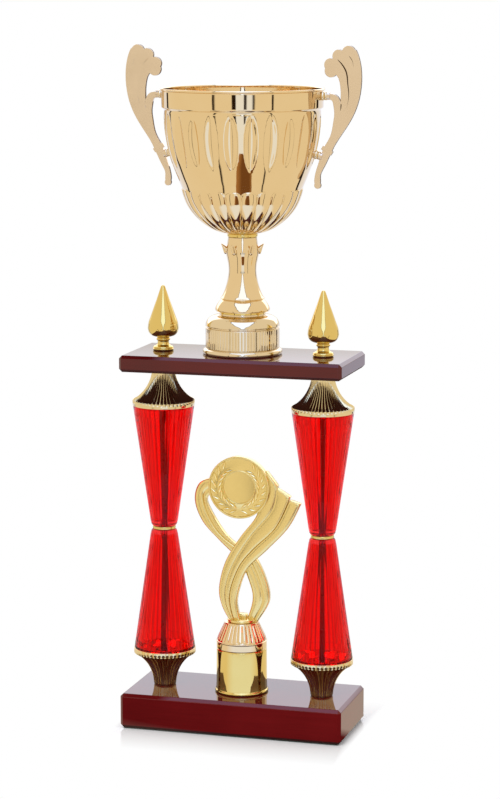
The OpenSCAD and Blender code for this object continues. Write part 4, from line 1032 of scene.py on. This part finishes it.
# %% Medal
MEDAL_H, MEDAL_R, MEDAL_FRONT, MEDAL_BACK, RECESS_R = 114.7, 25.5, 9.6, 2.6, 13.0
FIELD, BACK_FIELD = MEDAL_FRONT - 1.5, MEDAL_BACK + 0.5
RECESS = FIELD - 0.9
medal_at = Vector((0, FIGURE_Y, FIGURE_LOW + MEDAL_H * MM))
medal_edge = stretch((10, 5), (22.9, BACK_FIELD, 0.3), (23.5, MEDAL_BACK, 0.3), (25.2, MEDAL_BACK, 0.5),
                     (MEDAL_R, 3.4, 0.5), (MEDAL_R, MEDAL_FRONT - 0.3, 0.5), (25.0, MEDAL_FRONT, 0.4),
                     (24.3, MEDAL_FRONT, 0.4), (23.7, FIELD, 0.3), (20, FIELD))
recess_edge = stretch((20, 5), (RECESS_R + 0.8, FIELD, 0.2), (RECESS_R + 0.4, FIELD + 0.35, 0.2),
                      (RECESS_R, FIELD, 0.2), (RECESS_R - 0.1, RECESS, 0.2), (5, RECESS))
medal_outline = [(0, BACK_FIELD), *medal_edge, *recess_edge, (0, RECESS)]
medal = turned("medal_disc", medal_outline, 144, medal_at, (0, -1, 0))

# %% Laurel leaf
LEAF_L, LEAF_W, LEAF_RISE = 7.4, 2.6, 1.6
# Along a leaf: half its width as a share of its whole width; across it: its height as a share of its rise
LEAF_WIDTHS = [(0, 0.08), (0.2, 0.36), (0.45, 0.5), (0.75, 0.34), (1, 0.04)]
LEAF_DOME = [(-0.85, 0.4), (-0.4, 0.85), (0, 1), (0.4, 0.85), (0.85, 0.4)]
on_field = medal_at - Vector((0, FIELD * MM, 0))
laurel_sections = []
for t, half in LEAF_WIDTHS:
    rise = LEAF_RISE * (0.35 + 0.65 * sin(pi * (0.15 + 0.8 * t)))
    # A leaf's edges lie 0.2 mm below the field
    profile = [(-1, -0.2), *[(s, share * rise) for s, share in LEAF_DOME], (1, -0.2)]
    points = [Vector((-s * half * LEAF_W, -up, t * LEAF_L)) for s, up in profile]
    laurel_sections.append([on_field + point * MM for point in points])
laurel = lofted("laurel", laurel_sections)
laurel.data.materials.append(leaf_gold)
print("laurel leaf with", len(laurel.data.polygons), "faces")

# %% Laurel wreath
PAIRS, WREATH_R, FIRST_PAIR, PAIR_STEP, STEM_GAP, LEAN = 9, 18.2, 7, 16, 0.8, 0.6
wreath = []
for side in (-1, 1):
    for i in range(PAIRS):
        angle = radians(-90 + side * (FIRST_PAIR + PAIR_STEP * i))
        away = Vector((cos(angle), sin(angle)))
        ahead = Vector((-sin(angle), cos(angle))) * side
        for lean in (-1, 1):
            place = away * (WREATH_R + STEM_GAP * lean) * MM
            tip = ahead + away * LEAN * lean
            wreath.append(copied(laurel, "laurel_copy", (place.x, 0, place.y), turn=atan2(tip.x, tip.y),
                                 axis="Y", centre=on_field))
bpy.data.objects.remove(laurel)
print("laurel leaves", len(wreath))

# %% Figure foot
PEG_R, PEG_LOW, PEG_THREAD_TOP, FOOT_TOP = 7, -11.5, 2, 4.8
foot_part = filleted([
    (THREAD_R, PEG_LOW), (PEG_R, PEG_LOW, 0.3), (PEG_R, 2.3), (11.6, 2.3, 0.3), (11.9, 3.4, 0.4),
    (11.4, 4.6, 0.5), (4, FOOT_TOP), (0, FOOT_TOP), (0, PEG_THREAD_TOP), (THREAD_R, PEG_THREAD_TOP)])
figure_foot = turned("figure_foot", foot_part, 96, (0, FIGURE_Y, FIGURE_LOW))
# A small block ties the ribbons' ends together on the foot
TIE_LEFT, TIE_RIGHT = [(-2.6, 8.4), (-2.8, 6), (-2.8, 4)], [(4.4, 8.0), (4.6, 6), (4.6, 4)]
TIE_FOLDS = [(0, 0.8), (0.2, 0.1), (0.8, 0.1), (1, 0.8)]
tie_block = ribbon_band("tie_block", TIE_LEFT, TIE_RIGHT, -2.5, 5.0, TIE_FOLDS, 1.5, 6)
for piece in (medal, *ribbons, figure_foot, tie_block):
    piece.data.materials.append(satin_gold)
figure = joined("ribbon_medal_figure", [medal, *ribbons, *wreath, figure_foot, tie_block])
dressed(figure, None, "figure", "satin_gold", "medal_figure", crease=40)

# %% [markdown]
# ## Fasteners and felt
# Rods, nuts, washers and screws have their right shape in CAD, so they stay and only take a finish.

# %% Fasteners and felt
STEEL_NODES = ["tie_rod_nuts", "tie_rod_washers", "handle_screws", "cup_rod", "cup_nuts", "cup_washers",
               "figure_rod", "figure_nut", "figure_washer"]
KEPT = {felt: ["base_felt"], rod_steel: ["left_tie_rod", "right_tie_rod"], steel: STEEL_NODES}
for finish, names in KEPT.items():
    for name in names:
        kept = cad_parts[name]
        kept.data.materials.clear()
        kept.data.materials.append(finish)
        print(name, "keeps its shape, in", finish.name)

# %% [markdown]
# ## The studio
# The trophy stands in a tent of pale cloth. Mirrors show what is around them, so the surroundings are half
# of the look: a cool daylight opening on the camera's side, cloth all round, thin dark seams that draw
# upright lines on the plate, a bright light overhead that narrows towards the back, and a bright backdrop
# that the lacquered tops mirror. Colours are laid out by the angle from the camera's side and by height.
# The camera itself sees plain white, and the light on matt things is kept at a plain level.

# %% The world
FILL_LEVEL, WHITE = 0.5, (1, 1, 1, 1)
world = bpy.data.worlds.new("white_studio")
bpy.context.scene.world = world
world.use_nodes = True
tree = world.node_tree
background = tree.nodes["Background"]
background.inputs["Color"].default_value = WHITE
rays = add(tree, "LightPath", {}, {}).outputs
seen = add(tree, "Math", {"operation": "MAXIMUM"}, {0: rays["Is Camera Ray"], 1: rays["Is Glossy Ray"]})
seen = add(tree, "Math", {"operation": "MAXIMUM"}, {0: seen, 1: rays["Is Transmission Ray"]})
level = add(tree, "MapRange", {"To Min": FILL_LEVEL, "To Max": 1.0}, {"Value": seen})
link(tree, background, {"Strength": level})
bpy.context.scene.view_settings.view_transform = "Standard"
print("world", world.name)

# %% What the mirrors see
OPENING, BACK, OVERHEAD = (1.0, 1.12, 1.4, 1), (0.95, 0.98, 1.12, 1), (1.3, 1.6, 2.4, 1)
CLOTH, SEAM, SEAM_FADE = to_linear("#FAEFD8"), to_linear("#2A1C10"), 0.5
# Each seam: its angle from the camera's side, half its width, and the colours before and after it
LEFT_SEAMS = [(-131, 2.5, BACK, CLOTH), (-41, 1.4, CLOTH, CLOTH)]
RIGHT_SEAMS = [(43, 1.4, CLOTH, CLOTH), (132, 3, CLOTH, BACK)]
SEAMS = [*LEFT_SEAMS, (-12, 2.2, CLOTH, OPENING), (4, 1.5, OPENING, OPENING), (15.5, 1.2, OPENING, CLOTH),
         *RIGHT_SEAMS]
FLOOR_SEAMS = [*LEFT_SEAMS, (-9, 0, CLOTH, OPENING), (13, 0, OPENING, CLOTH), *RIGHT_SEAMS]


def surroundings(tree, seams):
    """Axes to the camera's side, to its right and up, and the colour by the angle round the trophy"""
    place = add(tree, "TexCoord", {}, {}).outputs["Object"]
    facing = add(tree, "Mapping", {"Rotation": (0, 0, pi / 2 - VIEW_TURN)}, {"Vector": place})
    angle = add(tree, "TexGradient", {"gradient_type": "RADIAL"}, {"Vector": facing}).outputs["Fac"]
    stops = [(-180, BACK)]
    for turn, half, before, after in seams:
        dark = [(turn - half, SEAM), (turn + half, SEAM)] if half else []
        stops += [(turn - half - SEAM_FADE, before), *dark, (turn + half + SEAM_FADE, after)]
    stops = [(0.5 + turn / 360, colour) for turn, colour in [*stops, (180, BACK)]]
    return facing, add(tree, "ValToRGB", {"stops": stops}, {"Fac": angle})


def hidden_but_mirrored(thing):
    """Only reflections show it"""
    thing.visible_camera = thing.visible_diffuse = False
    thing.visible_transmission = thing.visible_shadow = False


print("seams round the trophy", len(SEAMS))

# %% The tent
TENT_R = 3.9
# The light overhead, in shares of the tent's radius: half its width at the top, how that grows towards the
# camera's side, how it narrows to a point further down, half the width of its dark border, and the heights
# where it starts and is full
LIGHT_HALF, LIGHT_GROWS, LIGHT_POINT, LIGHT_NARROWS, BORDER = 0.32, 0.36, -0.035, 0.5, 0.06
LIGHT_FROM, LIGHT_FULL = 0.10, 0.13
BORDER_STOPS = [(0, CLOTH), (0.36, CLOTH), (0.42, SEAM), (0.58, SEAM), (0.64, OVERHEAD), (1, OVERHEAD)]
bpy.ops.object.select_all(action="DESELECT")
bpy.ops.mesh.primitive_uv_sphere_add(segments=64, ring_count=32, radius=TENT_R, location=(0, 0, 0))
tent = bpy.context.object
tent.name = "cloth_tent"
# Tent cloth: around by angle; from about 6 degrees up the light overhead between two dark borders.
cloth, tree, _ = new_finish("tent_cloth")
facing, around = surroundings(tree, SEAMS)
axes = add(tree, "SeparateXYZ", {}, {"Vector": facing}).outputs
aside = add(tree, "Math", {"operation": "ABSOLUTE"}, {0: axes["Y"]})
growing = {"operation": "MULTIPLY_ADD", 1: LIGHT_GROWS, 2: LIGHT_HALF * TENT_R}
narrowing = {"operation": "MULTIPLY_ADD", 1: LIGHT_NARROWS, 2: LIGHT_POINT * TENT_R}
wide_edge = add(tree, "Math", growing, {0: axes["X"]})
point_edge = add(tree, "Math", narrowing, {0: axes["Z"]})
edge = add(tree, "Math", {"operation": "MINIMUM"}, {0: wide_edge, 1: point_edge})
within = add(tree, "Math", {"operation": "SUBTRACT"}, {0: edge, 1: aside})
share = add(tree, "MapRange", {"From Min": -BORDER * TENT_R, "From Max": BORDER * TENT_R}, {"Value": within})
over = add(tree, "ValToRGB", {"stops": BORDER_STOPS}, {"Fac": share})
above_range = {"From Min": LIGHT_FROM * TENT_R, "From Max": LIGHT_FULL * TENT_R}
above = add(tree, "MapRange", above_range, {"Value": axes["Z"]})
colour = add(tree, "Mix", {"data_type": "RGBA"}, {SHARE: above, UNDER: around, OVER: over})
print("tent", tent.name, "of", TENT_R, "m")

# %% The backdrop
# The tent's back brightens upwards, as a lit backdrop does. Its reach, in shares of the tent's radius: how
# far behind the trophy and how high it starts and is full.
BACKDROP_LIGHT, BACKDROP_GAIN = (0.96, 1.04, 1.4, 1), 2.6
BEHIND_FROM, BEHIND_FULL, RISE_FROM, RISE_FULL = -0.62, -0.72, 0.2, 0.3
back_range = {"From Min": BEHIND_FROM * TENT_R, "From Max": BEHIND_FULL * TENT_R}
rise_range = {"From Min": RISE_FROM * TENT_R, "From Max": RISE_FULL * TENT_R, "To Max": BACKDROP_GAIN}
behind = add(tree, "MapRange", back_range, {"Value": axes["X"]})
rise = add(tree, "MapRange", rise_range, {"Value": axes["Z"]})
gain = add(tree, "Math", {"operation": "MULTIPLY"}, {0: behind, 1: rise})
brighter = {"data_type": "RGBA", "blend_type": "ADD", OVER: BACKDROP_LIGHT}
colour = add(tree, "Mix", brighter, {SHARE: gain, UNDER: colour})
glow = add(tree, "Emission", {}, {"Color": colour})
link(tree, tree.nodes["Material Output"], {"Surface": glow})
tent.data.materials.append(cloth)
hidden_but_mirrored(tent)
print("tent cloth has", len(tree.nodes), "nodes")

# %% The floor
bpy.ops.object.select_all(action="DESELECT")
bpy.ops.mesh.primitive_plane_add(size=8)
sweep = bpy.context.object
sweep.name = "white_sweep"
# White laminate: it keeps the trophy's shadow and a faint reflection, and fades into the white behind,
# over 7 mm at the base's ends and 52 mm before and behind it.
white, tree, shader = new_finish("white_laminate", Base_Color=to_linear("#EDEDED"), Roughness=0.15,
                                 Specular_IOR_Level=0.25)
place = add(tree, "TexCoord", {}, {}).outputs["Object"]
sides = add(tree, "VectorMath", {"operation": "ABSOLUTE"}, {0: place})
beyond = add(tree, "VectorMath", {"operation": "SUBTRACT", 1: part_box("base_block")[1]}, {0: sides})
fade_scale = (per_metre(7), per_metre(52), 0)
spread = add(tree, "VectorMath", {"operation": "MULTIPLY", 1: fade_scale}, {0: beyond})
shares = add(tree, "SeparateXYZ", {}, {"Vector": spread}).outputs
fade = add(tree, "Math", {"operation": "MAXIMUM", "use_clamp": True}, {0: shares["X"], 1: shares["Y"]})
white_glow = add(tree, "Emission", {"Color": WHITE}, {})
lit = add(tree, "MixShader", {}, {0: fade, 1: shader, 2: white_glow})
print("floor", sweep.name)

# %% The floor in mirrors
# In mirrors the floor is plain and pale near the trophy, carries on the tent's seams farther out, and
# carries painted shade right before the base. In metres: where the seams start and are full, how long a
# reflected ray may be to meet the painted shade, and where it starts and is full before the trophy's axis.
SEAMS_FROM, SEAMS_FULL = 0.36, 0.44
DARK_STOPS, DARK_WHOLE, DARK_FROM, DARK_FULL = 0.14, 0.13, 0.02, 0.04
facing, around = surroundings(tree, FLOOR_SEAMS)
away = add(tree, "VectorMath", {"operation": "LENGTH"}, {0: facing})
axes = add(tree, "SeparateXYZ", {}, {"Vector": facing}).outputs
ahead = add(tree, "Math", {"operation": "DIVIDE"}, {0: axes["X"], 1: away})
pale = add(tree, "MapRange", {"From Min": 0.3, "From Max": 0.8}, {"Value": ahead})
plain = add(tree, "Mix", {"data_type": "RGBA", UNDER: CLOTH, OVER: OPENING}, {SHARE: pale})
far = add(tree, "MapRange", {"From Min": SEAMS_FROM, "From Max": SEAMS_FULL}, {"Value": away})
laid = add(tree, "Mix", {"data_type": "RGBA"}, {SHARE: far, UNDER: plain, OVER: around})
rays = add(tree, "LightPath", {}, {}).outputs
near_range = {"From Min": DARK_STOPS, "From Max": DARK_WHOLE}
near = add(tree, "MapRange", near_range, {"Value": rays["Ray Length"]})
before = add(tree, "MapRange", {"From Min": DARK_FROM, "From Max": DARK_FULL}, {"Value": axes["X"]})
dark = add(tree, "Math", {"operation": "MULTIPLY"}, {0: near, 1: before})
# Painted shade before the base, seen in mirrors only
shade = {"data_type": "RGBA", OVER: to_linear("#3A2418")}
mirrored = add(tree, "Mix", shade, {SHARE: dark, UNDER: laid})
glow = add(tree, "Emission", {}, {"Color": mirrored})
reflected = add(tree, "Math", {"operation": "SUBTRACT", "use_clamp": True},
                {0: rays["Is Glossy Ray"], 1: rays["Is Transmission Ray"]})
both = add(tree, "MixShader", {}, {0: reflected, 1: lit, 2: glow})
link(tree, tree.nodes["Material Output"], {"Surface": both})
sweep.data.materials.append(white)
print("floor has", len(tree.nodes), "nodes")

# %% A brown card
CARD_TURN, CARD_AWAY, CARD_SIZE = VIEW_TURN + radians(3), 0.64, (0.25, 0.49, 1)
CARD_H = 0.002
card_at = (CARD_AWAY * sin(CARD_TURN), -CARD_AWAY * cos(CARD_TURN), CARD_H)
bpy.ops.object.select_all(action="DESELECT")
bpy.ops.mesh.primitive_plane_add(size=1, location=card_at, rotation=(0, 0, CARD_TURN))
card = bpy.context.object
card.name, card.scale = "brown_card", CARD_SIZE
# Brown kraft card on the floor in the tent's opening, which the bowl mirrors below its middle. It glows
# with painted light: brown in the middle and lighter towards both ends, as if lit there.
kraft, tree, _ = new_finish("brown_kraft_card")
LIT_LEFT, BROWN, LIT_RIGHT = to_linear("#B98550"), to_linear("#7A502B"), to_linear("#A87A48")
place = add(tree, "TexCoord", {}, {}).outputs["Object"]
axes = add(tree, "SeparateXYZ", {}, {"Vector": place}).outputs
across = add(tree, "MapRange", {"From Min": -0.5, "From Max": 0.5}, {"Value": axes["X"]})
brown_stops = [(0, LIT_LEFT), (0.35, BROWN), (0.85, BROWN), (1, LIT_RIGHT)]
brown = add(tree, "ValToRGB", {"stops": brown_stops}, {"Fac": across})
glow = add(tree, "Emission", {}, {"Color": brown})
link(tree, tree.nodes["Material Output"], {"Surface": glow})
card.data.materials.append(kraft)
hidden_but_mirrored(card)
print("card", card.name)

# %% Lamps
AIM = Vector((0, 0, 0.3))


def softbox(name, turn, distance, height, size, power):
    """A square area lamp at an angle from the camera's side, aimed at the trophy"""
    angle = VIEW_TURN + radians(turn)
    bpy.ops.object.light_add(type="AREA", location=(distance * sin(angle), -distance * cos(angle), height))
    lamp = bpy.context.object
    lamp.name, lamp.visible_glossy = name, False
    lamp.data.shape, lamp.data.size, lamp.data.size_y, lamp.data.energy = "RECTANGLE", size, size, power
    lamp.rotation_euler = (lamp.location - AIM).to_track_quat("Z", "Y").to_euler()


softbox("key_softbox", -42, 1.5, 0.75, 0.9, 16)
softbox("fill_softbox", 48, 1.5, 0.65, 0.9, 13)
softbox("top_softbox", 0, 0.3, 1.6, 1.0, 5)
